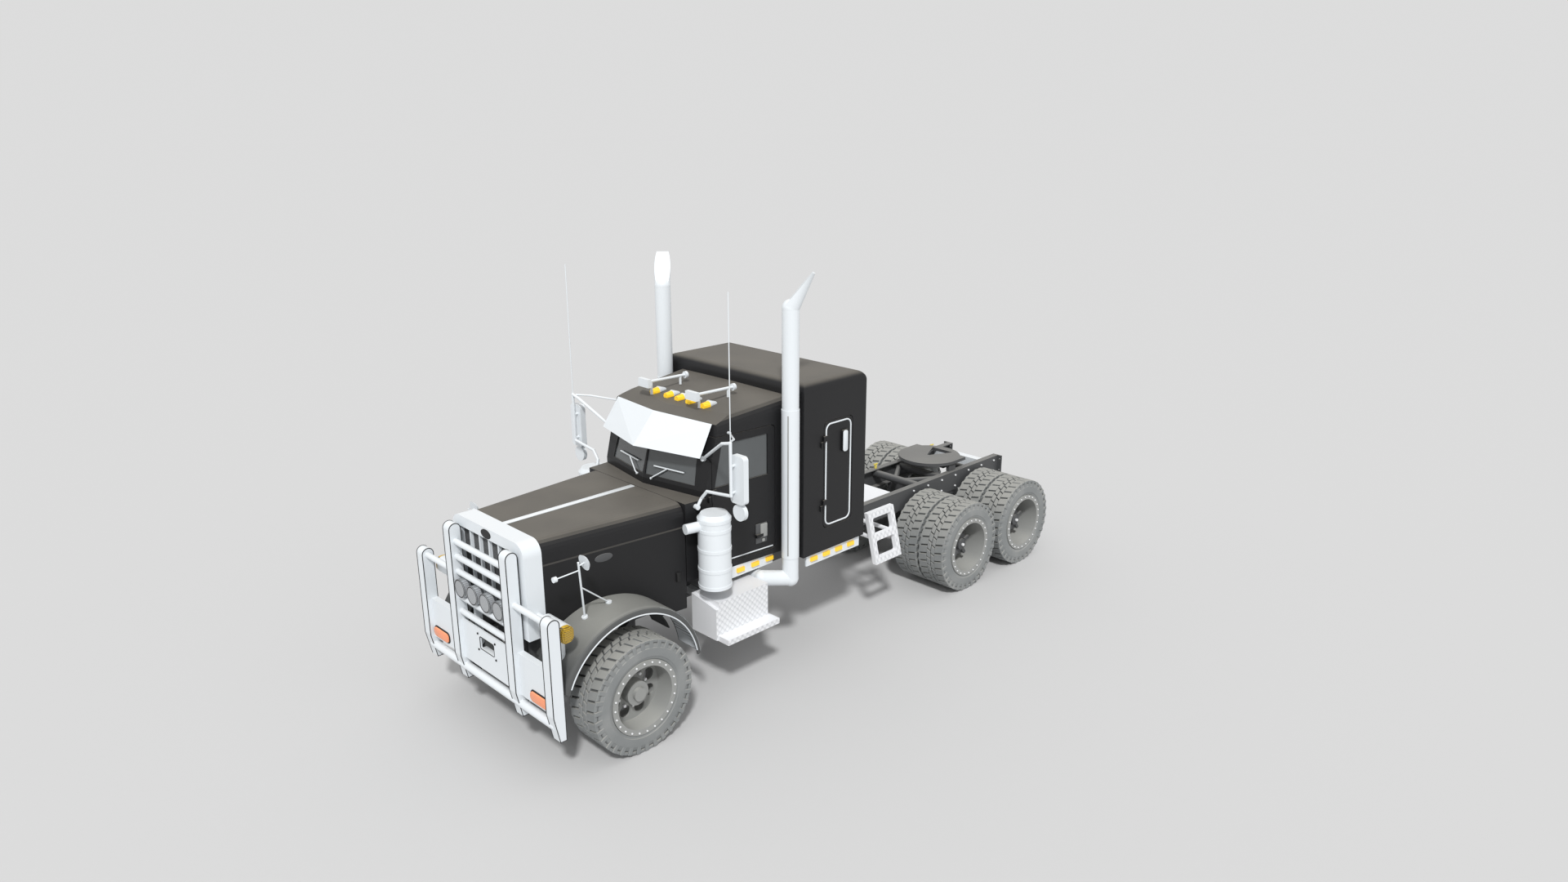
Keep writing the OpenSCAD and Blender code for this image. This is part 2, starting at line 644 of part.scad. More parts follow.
// Hood: sides that widen rearwards with round shoulders, open below and behind, cut at the arch
hood_taper = atan((hood_half_rear - hood_half_front) / (hood_rear - hood_front));
hood_shoulder = 130;
hood_low = 1010;
hood_belt = 245;
belt_step = 12;
module hood_half_space(d) translate([hood_half_front, hood_front, hood_top]) rotate([0, 0, -hood_taper])
    along_y(-far, far) polygon(concat([[-d, -far], [-d, -hood_belt], [-d - belt_step, -hood_belt + belt_step]],
        arc([-d - belt_step - hood_shoulder, -d - hood_shoulder], hood_shoulder, 0, 90, 6),
        [[-far, -d], [-far, -far]]));
module hood_form(d, y0, y1) intersection() {
    hood_half_space(d);
    mirror([1, 0, 0]) hood_half_space(d);
    block([-far, y0, 0], [far, y1, far]);
}
module hood() color(black) from_axle() difference() {
    hood_form(0, hood_front, hood_rear);
    hood_form(sheet, hood_front - 1, hood_rear + 1);
    block([-far, -far, 0], [far, far, hood_low]);
    drum_x(-far, far, 0, hub_z, arch_r);
    block([-far, -far, 0], [far, 0, hub_z + 500]);
}

// Fender: a crown turned about the axle, its round shoulder ending in a lip at the arch
crown_r = arch_r + 66;
fender_in = hood_half_front - 30;
fender_start = 8;
fender_end = 160;
fender_shoulder = 55;
module fender_profile() difference() {
    c = [crown_r, fender_outer] - [1, 1] * fender_shoulder;
    polygon(concat([[arch_r, fender_in], [crown_r, fender_in]], arc(c, fender_shoulder, 0, 90, 6),
        [[arch_r, fender_outer]]));
    polygon(concat([[arch_r - 1, fender_in - 1], [crown_r - sheet, fender_in - 1]],
        arc(c, fender_shoulder - sheet, 0, 90, 6), [[arch_r - 1, fender_outer - sheet]]));
}
liner_in = rail_outer + 60;
liner_out = fender_in + 180;
module about_axle(start, end) both() translate([0, 0, hub_z]) rotate([90, 0, 90]) rotate([0, 0, start])
    rotate_extrude(angle = end - start) children();
module fenders() color(grey) from_axle() {
    difference() {
        about_axle(fender_start, fender_end) fender_profile();
        hood_form(-seat, hood_front - 300, hood_rear);
        block([-hood_half_front - seat, grille_front, 0], [hood_half_front + seat, hood_front + 1, far]);
    }
    about_axle(fender_start + 14, fender_end - 12)
        translate([arch_r - sheet, liner_in]) square([sheet - rest_gap, liner_out - liner_in]);
}

// Grille shell with upright bars, its hinge arms and their pins
grille_front = -790;
grille_low = rail_top + 8;
opening_half = 515;
opening_low = grille_low + 70;
opening_high = 2030;
bar_x = [-340, -170, 0, 170, 340];
module grille_shell() color(white) from_axle() {
    along_y(grille_front, hood_front) difference() {
        union() {
            rounded([-hood_half_front, grille_low], [hood_half_front, hood_top + 10], hood_shoulder);
            translate([-hood_half_front, grille_low]) square([2 * hood_half_front, 400]);
        }
        rounded([-opening_half, opening_low], [opening_half, opening_high], 40);
    }
    for (x = bar_x) block([x - 12, grille_front + 20, opening_low - 5], [x + 12, grille_front + 50, opening_high + 5]);
    block([-opening_half - 5, grille_front + 25, 1800], [opening_half + 5, grille_front + 45, 1824]);
    both() {
        along_x(web_in - mount_t - 45, web_in - mount_t - 8) {
            translate([hood_pin.x - 35, hood_pin.y]) square([70, grille_low - hood_pin.y + 5]);
            translate(hood_pin) circle(35);
        }
        drum_x(web_in - mount_t - 40, web_in, hood_pin.x, hood_pin.y, pin_r);
    }
}
module grille_mesh() color(black) from_axle() difference() {
    block([-opening_half - 40, hood_front + 0.5, opening_low - 30], [opening_half + 40, hood_front + 12, opening_high + 30]);
    for (x = [-465:85:465], z = [opening_low + 25:85:opening_high - 70])
        block([x - 30, -far, z], [x + 30, far, z + 60]);
}

// Headlight pods on an arm from the grille shell and a foot on the fender
pod_in = 790;
pod_out = 1085;
pod_z = 1420;
pod_front = -775;
pod_depth = 150;
module pod_profile(d) rounded([pod_front + d, pod_z - 85 + d], [pod_front + pod_depth - d, pod_z + 85 - d], 65 - d);
module headlights() color(white) from_axle() both() {
    along_x(pod_in, pod_out) pod_profile(0);
    drum_x(hood_half_front, pod_in + 5, pod_front + 100, pod_z, 32);
    difference() {
        translate([930, -640, 1080]) cylinder(h = 290, r = 28);
        drum_x(0, far, 0, hub_z, crown_r + rest_gap, $fn = 180);
    }
}
module headlight_lenses() color(amber) from_axle() both() {
    along_x(pod_out + seat, pod_out + 36) pod_profile(4);
    along_x(pod_out + 35, pod_out + 52) pod_profile(16);
    along_x(pod_out + 51, pod_out + 60) pod_profile(34);
}

// Round mirrors on three-legged stands over the fenders
mirror_eye = [966, -378, 1963];
module fender_mirrors() color(white) from_axle() both() {
    lean = [asin(311 / crown_r), asin(40 / crown_r)];
    foot = [for (t = lean) [830, -(crown_r + 7) * sin(t), hub_z + (crown_r + 7) * cos(t)]];
    knee = mirror_eye + [0, -60, 20];
    post = knee - foot[0];
    for (t = lean) translate([830, 0, hub_z]) rotate([t, 0, 0])
        translate([0, 0, crown_r + seat]) cylinder(h = 16, r = 30);
    bar(foot[0], knee, 10);
    bar(foot[1], foot[0] + 0.55 * post, 7);
    bar(foot[0] + 0.86 * post, [900, -650, 1862], 6);
    translate([900, -650, 1862]) rotate([90, 0, 0]) cylinder(h = 34, r = 26, center = true);
    bar(foot[0] + 0.94 * post, mirror_eye + [0, 8, 0], 7);
    translate(mirror_eye) rotate([-78, 0, 0]) cylinder(h = 22, r1 = 78, r2 = 60);
}

// Guard: upright plates with round tops, joined by tubes and plates, hung on two pins
guard_front = guard_rear - guard_depth;
guard_mid = guard_rear - guard_depth / 2;
guard_low = 440;
guard_kick = 700;
upright = [[guard_in, 2080], [guard_out, 1640]];
cross_z = [1900, 1745, 1590, 1330, 1170];
side_tube_z = 1570;
low_tube_z = 575;
plate_low = 670;
side_plate_top = 1100;
winch = [[-130, 885], [130, 1015]];
module guard_upright(x, top) along_x(x - guard_w / 2, x + guard_w / 2) {
    r = guard_depth / 2;
    polygon([[guard_front, guard_kick], [guard_front + 55, guard_low], [guard_rear, guard_low],
        [guard_rear, top - r], [guard_front, top - r]]);
    translate([guard_mid, top - r]) circle(r);
}
module guard() color(white) from_axle() {
    difference() {
        union() {
            both() for (u = upright) guard_upright(u.x, u.y);
            for (z = cross_z) drum_x(-guard_in, guard_in, guard_mid, z, guard_tube_r);
            both() drum_x(guard_in, guard_out, guard_mid, side_tube_z, guard_tube_r);
            drum_x(-guard_out, guard_out, guard_mid, low_tube_z, 43);
            block([-guard_in, guard_mid - 10, plate_low], [guard_in, guard_mid + 10, 1090]);
            both() block([guard_in, guard_mid - 10, plate_low], [guard_out, guard_mid + 10, side_plate_top]);
            both() block([guard_in, guard_mid, side_plate_top - 15], [guard_out, guard_rear - 5, side_plate_top]);
        }
        along_y(-far, 0) rounded(winch[0], winch[1], 20);
    }
    both() drum_x(web_in - mount_t, guard_in, guard_pin.x, guard_pin.y, pin_r);
    both() block([guard_in - guard_w / 2, guard_rear - 5, guard_pin.y - 40], [guard_in, guard_pin.x + 40, guard_pin.y + 40]);
}
lamp_x = [-345, -115, 115, 345];
lamp_r = 95;
lamp_z = cross_z[3] + guard_tube_r + lamp_r + 2;
module guard_lamps() color(grey) from_axle() for (x = lamp_x) translate([x, guard_mid, lamp_z]) {
    rotate([90, 0, 0]) cylinder(h = 60, r = lamp_r);
    rotate([-90, 0, 0]) cylinder(h = 45, r1 = lamp_r, r2 = 50);
    translate([0, 0, cross_z[3] - lamp_z + guard_tube_r + seat]) cylinder(h = 30, r = 14);
}
module guard_markers() color(orange) from_axle() both()
    along_y(guard_mid - 32, guard_mid - 10) rounded([790, 715], [925, 805], 44);

// Stacks: a tube in a wider shield, an elbow below and a slanted tip
stack = [1020, cab_rear - stack_r - 15];
elbow_z = 1010;
module exhaust_stacks() color(white) from_axle() both() {
    translate([stack.x, stack.y, elbow_z]) cylinder(h = 2940, r = stack_r);
    translate([stack.x, stack.y, 1260]) cylinder(h = 1640, r = stack_r + 6);
    translate([stack.x, stack.y, elbow_z]) sphere(stack_r + 1);
    bar([stack.x, stack.y, elbow_z], [900, 1880, elbow_z + 60], stack_r - 6);
    drum_x(rail_outer, 900, 1880, elbow_z + 60, stack_r - 12);
    translate([900, 1880, elbow_z + 60]) sphere(stack_r - 5);
    translate([stack.x, stack.y, elbow_z + 2940]) sphere(stack_r + 1);
    difference() {
        bar([stack.x, stack.y, elbow_z + 2940], [stack.x + 119, stack.y + 108, 4330], stack_r);
        translate([stack.x + 119, stack.y + 108, 4240]) rotate([0, -50, 42]) block([-400, -400, 0], [400, 400, 400]);
    }
    difference() {
        for (z = [1700, 2730])
            block([cab_half_rear - 40, stack.y - 20, z], [stack.x - stack_r + 10, stack.y + 20, z + 40]);
        cab_form(0);
    }
}

// Air cleaners: banded drums with a cap, held on the cowl by straps
cleaner = [1012, 1132];
cleaner_low = 1270;
cleaner_high = 2050;
module air_cleaners() color(white) from_axle() both() {
    translate([cleaner.x, cleaner.y, cleaner_low]) {
        cylinder(h = cleaner_high - cleaner_low - 40, r = cleaner_r - 5);
        for (z = [0, 180, 390, 600, 700]) translate([0, 0, z]) cylinder(h = 34, r = cleaner_r);
        translate([0, 0, cleaner_high - cleaner_low - 41]) cylinder(h = 41, r1 = cleaner_r - 5, r2 = cleaner_r - 35);
    }
    difference() {
        for (z = [1420, 1880])
            block([cab_half_front - 40, cleaner.y - 45, z], [cleaner.x - cleaner_r + 20, cleaner.y + 45, z + 45]);
        cab_form(0);
    }
    bar([cleaner.x - 40, cleaner.y - 60, 1925], [cleaner.x - 90, cleaner.y - 300, 1925], 52);
}

// Step boxes under the doors and ladder steps behind the sleeper
box_y = [1100, 1780];
module steps() color(white) from_axle() both() {
    block([720, box_y[0], 748], [1100, box_y[1], 1110]);
    block([720, box_y[0] - 15, 690], [1250, box_y[1] + 25, 748]);
    plate([[720, box_y[0], 1110], [1100, box_y[0], 1040], [1100, box_y[0], 700], [720, box_y[0], 700]], [0, -40, 0]);
    for (y = [box_y[0] + 120, box_y[1] - 160]) block([rail_outer, y, 960], [725, y + 60, 1040]);
    difference() {
        along_y(3480, 3940) polygon([[950, 1390], [1005, 1390], [1155, 800], [1100, 800]]);
        for (z = [870, 1130]) along_x(0, far) rounded([3550, z], [3870, z + 190], 25);
    }
    for (y = [3520, 3860]) bar([rail_outer, y, 1100], [1050, y, 1100], 24);
}

// Side skirts and the lights on them, as rows of outer face, ends and heights
skirt_t = 20;
cab_skirt = [1430, 2085, 1175];
sleeper_skirt = [2380, 3240, 1100];
module skirts() color(white) from_axle() both() {
    block([cab_half_rear - 60 - skirt_t, cab_skirt[0], cab_skirt[2]], [cab_half_rear - 60, cab_skirt[1], cab_base]);
    block([sleeper_half - 30 - skirt_t, sleeper_skirt[0], sleeper_skirt[2]],
        [sleeper_half - 30, sleeper_skirt[1], sleeper_base]);
}
marker_x = [-415, -180, 0, 180, 415];
marker_y = 1600;
function roof_z(y) = cab_roof_z - (cab_rear - y) * tan(roof_pitch);
module amber_lights() color(amber) from_axle() {
    difference() {
        for (x = marker_x)
            translate([x, marker_y, roof_z(marker_y)]) rotate([90, 0, 0]) cylinder(h = 80, r1 = 44, r2 = 34);
        cab_form(0);
    }
    both() for (i = [0:2]) block([cab_half_rear - 60, 1560 + i * 210, 1220], [cab_half_rear - 40, 1660 + i * 210, 1265]);
    both() for (i = [0:3])
        block([sleeper_half - 30, 2440 + i * 200, 1145], [sleeper_half - 10, 2540 + i * 200, 1190]);
}
module horns() color(white) from_axle() for (x = [-390, 390]) {
    translate([x, 1410, 3070]) {
        block([-85, -20, -45], [85, 25, 45]);
        bar([0, 20, 0], [0, 580, -8], 16);
        translate([0, 580, -8]) rotate([90, 0, 0]) cylinder(h = 30, r = 38);
    }
    for (y = [1500, 1900]) translate([x, y, roof_z(y) - 6]) cylinder(h = 3066 - roof_z(y), r = 14);
}

module deck_plate() color(white) from_axle()
    block([-web_in, deck_front, crossmember_top], [web_in, deck_rear, crossmember_top + 12]);

// Fifth wheel: round-nosed plate with a rear throat, tilting on a cross shaft between two stands
coupling_y = trunnion_y + 180;
coupling_top = 1330;
throat_r = 27;
tilt_z = rail_top + 45;
tilt_r = 24;
stand_x = [345, 395];
module fifth_wheel() color(grey) from_axle() {
    translate([0, coupling_y, coupling_top - 40]) linear_extrude(40) difference() {
        union() {
            circle(420);
            translate([-420, 0]) square([840, 260]);
        }
        circle(throat_r);
        polygon([[-throat_r, 0], [throat_r, 0], [170, 300], [-170, 300]]);
    }
    both() block([230, coupling_y - 60, tilt_z - 25], [290, coupling_y + 60, coupling_top - 39]);
    drum_x(-stand_x[1], stand_x[1], coupling_y, tilt_z, tilt_r);
}

// Mirror loops on the cowl and the roof, with heads and whip aerials
mirror_x = 1300;
module on_cab_side() translate([cab_half_front, cab_side_front, 0]) rotate([0, 0, -cab_taper]) children();
module door_mirrors() color(white) from_axle() both() {
    top = [mirror_x, 1105, 2830];
    low = [mirror_x, 1105, 2300];
    tube([[742, 1237, 2518], [1180, 1105, 2800], top, low, [950, 1100, 2260], [870, 1095, 2170], [845, 1059, 2080]], 16);
    tube([[mirror_x - 30, 1122, 2828], [mirror_x - 120, 1260, 2810], [872, 1478, 2763]], 10);
    on_screen(1) translate([765, 330, seat]) cylinder(h = 30, r = 26);
    on_cab_side() translate([seat, -40, 2080]) rotate([0, 90, 0]) cylinder(h = 48, r = 26);
    on_cab_side() translate([seat, 381, 2762]) rotate([0, 90, 0]) cylinder(h = 32, r = 15);
    along_y(1150, 1215) rounded([mirror_x - 60, 2215], [mirror_x + 130, 2700], 40);
    translate([mirror_x + 35, 1215, 2120]) rotate([90, 0, 0]) cylinder(h = 45, r = 85);
    for (z = [2330, 2600]) bar([mirror_x, 1105, z], [mirror_x, 1170, z], 14);
    bar([mirror_x + 35, 1190, 2230], [mirror_x + 35, 1190, 2150], 12);
    translate([mirror_x, 1105, 2825]) cylinder(h = 1440, r = 5);
}

// Drawing, one line for each node
frame_rails();
crossmembers();
rear_crossmember();
engine();
radiator();
driveline();
front_axle();
suspension();
rear_axles();
knuckle_left();
knuckle_right();
tie_rod();
front_tyre_left();
front_tyre_right();
front_rim_left();
front_rim_right();
drive_tyres_left();
drive_tyres_right();
drive_rims_left();
drive_rims_right();
tag_tyres_left();
tag_tyres_right();
tag_rims_left();
tag_rims_right();
cab_floor();
cab_shell();
cab_roof();
windshield();
door_left();
door_right();
door_glass_left();
door_glass_right();
seats();
dashboard();
visor();
wipers();
horns();
amber_lights();
sleeper_shell();
sleeper_roof();
sleeper_door_left();
sleeper_door_right();
hood();
fenders();
grille_shell();
grille_mesh();
headlights();
headlight_lenses();
fender_mirrors();
guard();
guard_lamps();
guard_markers();
exhaust_stacks();
air_cleaners();
steps();
skirts();
deck_plate();
fifth_wheel();
door_mirrors();
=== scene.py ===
# %% [markdown]
# # A long-nose semi truck tractor
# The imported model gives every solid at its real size. This lesson dresses it: finishes for each surface,
# then the small pieces that a workshop would add last, and at the end a studio with a camera.

# %% Load the frame
import json
import math
import bmesh
import bpy
from mathutils import Matrix, Vector


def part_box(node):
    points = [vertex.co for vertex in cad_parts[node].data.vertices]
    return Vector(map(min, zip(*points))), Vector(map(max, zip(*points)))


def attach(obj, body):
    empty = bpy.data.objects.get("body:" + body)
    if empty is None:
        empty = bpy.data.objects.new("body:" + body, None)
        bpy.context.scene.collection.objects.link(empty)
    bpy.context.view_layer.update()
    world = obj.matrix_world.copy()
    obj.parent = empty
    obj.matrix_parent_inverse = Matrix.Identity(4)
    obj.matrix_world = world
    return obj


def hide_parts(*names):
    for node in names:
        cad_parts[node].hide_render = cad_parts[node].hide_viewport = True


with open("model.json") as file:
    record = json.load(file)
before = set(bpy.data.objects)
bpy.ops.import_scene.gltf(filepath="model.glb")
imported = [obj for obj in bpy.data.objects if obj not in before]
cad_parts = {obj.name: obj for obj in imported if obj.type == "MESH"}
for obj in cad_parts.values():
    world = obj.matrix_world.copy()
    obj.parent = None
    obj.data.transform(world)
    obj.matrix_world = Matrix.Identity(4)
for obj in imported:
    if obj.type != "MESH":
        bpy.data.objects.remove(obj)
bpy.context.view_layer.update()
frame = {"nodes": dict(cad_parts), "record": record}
nodes = frame["nodes"]

# %% [markdown]
# ## Shader sums as plain Python
# A finish is a sum of noise, masks and colours. Wiring every Math node by hand hides the sum, so one small
# class wraps a socket, and adding or multiplying two of them adds the node. `Finish` holds one material.


# %% The socket class and the finish builder
class Tone:
    def __init__(self, finish, socket):
        self.finish = finish
        self.socket = socket

    def math(self, operation, a, b):
        return self.finish.add("ShaderNodeMath", {"operation": operation}, {0: a, 1: b})

    def __add__(self, other):
        return self.math("ADD", self, other)

    def __sub__(self, other):
        return self.math("SUBTRACT", self, other)

    def __rsub__(self, other):
        return self.math("SUBTRACT", other, self)

    def __mul__(self, other):
        return self.math("MULTIPLY", self, other)

    def over(self, low, high):
        settings = {"interpolation_type": "SMOOTHSTEP"}
        inputs = {"Value": self, "From Min": low, "From Max": high}
        return self.finish.add("ShaderNodeMapRange", settings, inputs)

    __radd__ = __add__
    __rmul__ = __mul__


class Finish:
    def __init__(self, name):
        self.material = bpy.data.materials.new(name)
        self.material.use_nodes = True
        self.tree = self.material.node_tree
        self.shader = self.tree.nodes["Principled BSDF"]
        self.place = self.add("ShaderNodeTexCoord", output="Object")

    def add(self, kind, settings=None, inputs=None, output=0):
        node = self.tree.nodes.new(kind)
        for key, value in (settings or {}).items():
            setattr(node, key, value)
        for key, value in (inputs or {}).items():
            self.feed(node.inputs[key], value)
        return Tone(self, node.outputs[output])

    def feed(self, socket, value):
        if isinstance(value, Tone):
            self.tree.links.new(value.socket, socket)
        else:
            socket.default_value = value

    def noise(self, scale, detail):
        return self.add("ShaderNodeTexNoise", {}, {"Vector": self.place, "Scale": scale, "Detail": detail})

    def bands(self, direction, scale):
        settings = {"wave_type": "BANDS", "bands_direction": direction}
        return self.add("ShaderNodeTexWave", settings, {"Vector": self.place, "Scale": scale})

    def facing(self, axis):
        normal = self.add("ShaderNodeNewGeometry", output="Normal")
        return self.add("ShaderNodeSeparateXYZ", {}, {"Vector": normal}, output=axis)

    def mix(self, factor, a, b):
        return self.add("ShaderNodeMix", {"data_type": "RGBA"}, {"Factor": factor, 6: a, 7: b}, output=2)

    def bump(self, height, strength, distance):
        return self.add("ShaderNodeBump", {}, {"Height": height, "Strength": strength, "Distance": distance})

    def set(self, **inputs):
        for key, value in inputs.items():
            self.feed(self.shader.inputs[key.replace("_", " ")], value)
        return self.material


def rgb(r, g, b):
    return (r, g, b, 1.0)


# %% [markdown]
# ## The finishes
# The body is matte black, its upper faces warm with dust and painted sheen; the bright work is white, the
# fenders a dull grey, and the tyres are dusty rubber with painted shade in the grooves. The paints and the
# rubber get slow colour drift, fine grain in their roughness, and on faces that look up a second colour that
# is partly settled dust and partly painted top light.


# %% Paint, tread plate, rubber, glass, lenses and cloth
def painted(name, base, second_tone, top_dust_and_light_share, rough, grain, coat=0.0, shine=0.5):
    f = Finish(name)
    drift = f.noise(1.7, 5)
    fine = f.noise(140, 3)
    # Faces that look up are mixed towards the second colour: partly settled dust, partly painted top light.
    top_dust_and_light = f.facing("Z").over(0.55, 1.0) * (drift.over(0.2, 0.85) * 0.35 + 0.65) * top_dust_and_light_share
    colour = f.mix(top_dust_and_light, base, second_tone)
    colour = f.mix((fine * drift) * 0.25, colour, rgb(*[c * 0.8 for c in base[:3]]))
    return f.set(Base_Color=colour, Roughness=rough + (drift - 0.5) * 0.16 + top_dust_and_light * 0.2,
                 Normal=f.bump(fine, grain, 0.002), Coat_Weight=coat, Coat_Roughness=0.35,
                 Specular_IOR_Level=shine)


def chequered(name, base):
    f = Finish(name)
    rows = []
    for scale in ((1.0, 1.0, 1.0), (-1.0, 1.0, -1.0)):
        leaning = f.add("ShaderNodeMapping", {}, {"Vector": f.place, "Scale": scale})
        settings = {"wave_type": "BANDS", "bands_direction": "DIAGONAL"}
        rows.append(f.add("ShaderNodeTexWave", settings, {"Vector": leaning, "Scale": 9.0}))
    across = f.facing("X")
    on_side = (across * across).over(0.6, 0.9)
    bars = (rows[0].over(0.72, 0.86) + rows[1].over(0.72, 0.86)) * on_side
    worn = f.noise(6, 4)
    colour = f.mix(bars * 0.35, base, rgb(0.62, 0.64, 0.66))
    return f.set(Base_Color=colour, Roughness=0.34 + worn * 0.2, Metallic=0.15 * on_side,
                 Normal=f.bump(bars, 0.9, 0.006))


def rubbery(name, base, second_tone, deep):
    f = Finish(name)
    drift = f.noise(3.0, 5)
    grain = f.noise(220, 3)
    groove = f.add("ShaderNodeAttribute", {"attribute_name": "groove"}, output="Fac")
    colour = f.mix(drift.over(0.35, 0.75) * 0.6, base, second_tone)
    # Faces that look up turn paler: partly dust, partly painted top light.
    colour = f.mix(f.facing("Z").over(0.1, 0.9) * 0.7, colour, rgb(0.36, 0.355, 0.325))
    # The marked crown between the lugs is darkened: painted shade in the grooves.
    colour = f.mix(groove * 0.85, colour, deep)
    return f.set(Base_Color=colour, Roughness=0.82 + (grain - 0.5) * 0.15,
                 Normal=f.bump(grain, 0.35, 0.002))


def tinted_glass(name, tint):
    f = Finish(name)
    smear = f.noise(4.0, 5)
    colour = f.mix(smear * 0.3, tint, rgb(0.13, 0.14, 0.145))
    return f.set(Base_Color=colour, Roughness=0.06 + smear * 0.08, Alpha=0.82 + smear * 0.1, Coat_Weight=0.6)


def lens(name, bright, deep, glow):
    f = Finish(name)
    ribs = f.bands("Z", 22.0)
    colour = f.mix(ribs, bright, deep)
    return f.set(Base_Color=colour, Roughness=0.2 + ribs * 0.1, Normal=f.bump(ribs, 0.5, 0.004),
                 Emission_Color=colour, Emission_Strength=glow, Coat_Weight=0.5)


def woven(name, base):
    f = Finish(name)
    warp = f.bands("X", 120.0)
    weft = f.bands("Z", 120.0)
    colour = f.mix(warp * weft, base, rgb(0.2, 0.2, 0.21))
    return f.set(Base_Color=colour, Roughness=0.9, Normal=f.bump(warp + weft, 0.4, 0.002))


# %% [markdown]
# ## A painter's chart
# Each row names a finish and gives its colour, its second colour (dust and painted top light on upward
# faces), how much of that colour they take, and its roughness, grain, coat and shine. A material could be
# set up for each piece by hand, but a chart keeps like numbers side by side. The tread plate and the
# headlights get a finish that isn't their slot's own.

# %% Every finish by name
# The second colours are partly dust and partly painted top light; the warm one is dust and a painted warm
# sheen on the black body's upper faces.
GREY_DUST_AND_TOP_LIGHT = rgb(0.26, 0.255, 0.24)
WARM_DUST_AND_TOP_LIGHT = rgb(0.19, 0.175, 0.15)
RUBBER = rgb(0.215, 0.226, 0.227)
RUBBER_DUST = rgb(0.31, 0.315, 0.31)
# The darkest rubber colour is painted shade for the grooves between the lugs.
RUBBER_GROOVE_SHADE = rgb(0.075, 0.078, 0.079)
PAINTS = {
    "black_paint": (rgb(0.010, 0.010, 0.011), WARM_DUST_AND_TOP_LIGHT, 0.85, 0.5, 0.05, 0.05, 0.35),
    "white_paint": (rgb(0.76, 0.80, 0.83), rgb(0.86, 0.86, 0.85), 0.4, 0.32, 0.03, 0.3),
    "fender_paint": (rgb(0.075, 0.078, 0.077), rgb(0.31, 0.31, 0.285), 0.95, 0.6, 0.08),
    "frame_steel": (rgb(0.075, 0.077, 0.08), GREY_DUST_AND_TOP_LIGHT, 0.8, 0.55, 0.2),
    "rim_paint": (rgb(0.30, 0.305, 0.295), rgb(0.45, 0.45, 0.42), 0.8, 0.5, 0.1),
    "dark_plastic": (rgb(0.02, 0.02, 0.021), rgb(0.1, 0.1, 0.1), 0.3, 0.7, 0.3),
    "black_line": (rgb(0.01, 0.01, 0.01), rgb(0.05, 0.05, 0.05), 0.2, 0.6, 0.1),
    "bright_bolt": (rgb(0.8, 0.81, 0.82), rgb(0.5, 0.5, 0.5), 0.2, 0.3, 0.05, 0.3),
    "valve_yellow": (rgb(0.75, 0.62, 0.12), GREY_DUST_AND_TOP_LIGHT, 0.3, 0.45, 0.1),
}
LENSES = {
    "amber_lens": (rgb(0.95, 0.66, 0.03), rgb(0.82, 0.45, 0.01), 0.3),
    "orange_lens": (rgb(0.90, 0.33, 0.15), rgb(0.66, 0.20, 0.09), 0.2),
    "pod_lens": (rgb(0.62, 0.40, 0.03), rgb(0.10, 0.06, 0.01), 0.05),
    "lamp_glass": (rgb(0.42, 0.44, 0.46), rgb(0.24, 0.25, 0.26), 0.0),
}
FINISH = {name: painted(name, *values) for name, values in PAINTS.items()}
FINISH.update({name: lens(name, *values) for name, values in LENSES.items()})
FINISH["chequer"] = chequered("chequer", rgb(0.84, 0.85, 0.87))
FINISH["tyre"] = rubbery("tyre", RUBBER, RUBBER_DUST, RUBBER_GROOVE_SHADE)
FINISH["glass"] = tinted_glass("glass", rgb(0.085, 0.093, 0.096))
FINISH["fine_screen"] = woven("fine_screen", rgb(0.055, 0.058, 0.058))
FINISH["seat_cloth"] = woven("seat_cloth", rgb(0.05, 0.05, 0.055))

OWN_FINISH = {"steps": "chequer", "deck_plate": "chequer", "headlight_lenses": "pod_lens"}
slot_of = {row["node"]: row["material_slot"] for row in frame["record"]["subparts"]}
for name, solid in nodes.items():
    solid.data.materials.clear()
    solid.data.materials.append(FINISH[OWN_FINISH.get(name, slot_of[name])])
print("finishes", len(FINISH))

# %% [markdown]
# ## Modelling by hand, in code
# Every new piece starts as a primitive at its size and place, is shaped in edit mode, and ends with its
# place in its mesh. These helpers start a piece, select by place, copy it, and hand it to the body that
# carries it.


# %% Helpers for new pieces
AXLE_Y = -3.02
TYRE_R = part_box("front_tyre_left")[1].z / 2
MIRROR = Matrix.Scale(-1, 4, (1, 0, 0))
ACROSS, ALONG, UP = (1, 0, 0), (0, 1, 0), (0, 0, 1)


def fresh():
    if bpy.context.object and bpy.context.object.mode != "OBJECT":
        bpy.ops.object.mode_set(mode="OBJECT")
    bpy.ops.object.select_all(action="DESELECT")


def place_applied():
    bpy.ops.object.transform_apply(location=True, rotation=True, scale=True)


def sized_cube(low, high):
    fresh()
    low, high = Vector(low), Vector(high)
    bpy.ops.mesh.primitive_cube_add(size=1, location=(low + high) / 2, scale=high - low)
    place_applied()


def bevelled(width, segments=2):
    bpy.ops.object.mode_set(mode="EDIT")
    bpy.ops.mesh.bevel(offset=width, segments=segments, affect="EDGES")
    bpy.ops.object.mode_set(mode="OBJECT")
    return bpy.context.object


def bevelled_box(low, high, width, segments=2):
    sized_cube(low, high)
    return bevelled(width, segments)


def bevelled_disc(centre, axis, radius, height, width, sides=32):
    fresh()
    turn = Vector(UP).rotation_difference(Vector(axis)).to_euler()
    bpy.ops.mesh.primitive_cylinder_add(vertices=sides, radius=radius, depth=height, location=centre,
                                        rotation=turn)
    place_applied()
    return bevelled(width)


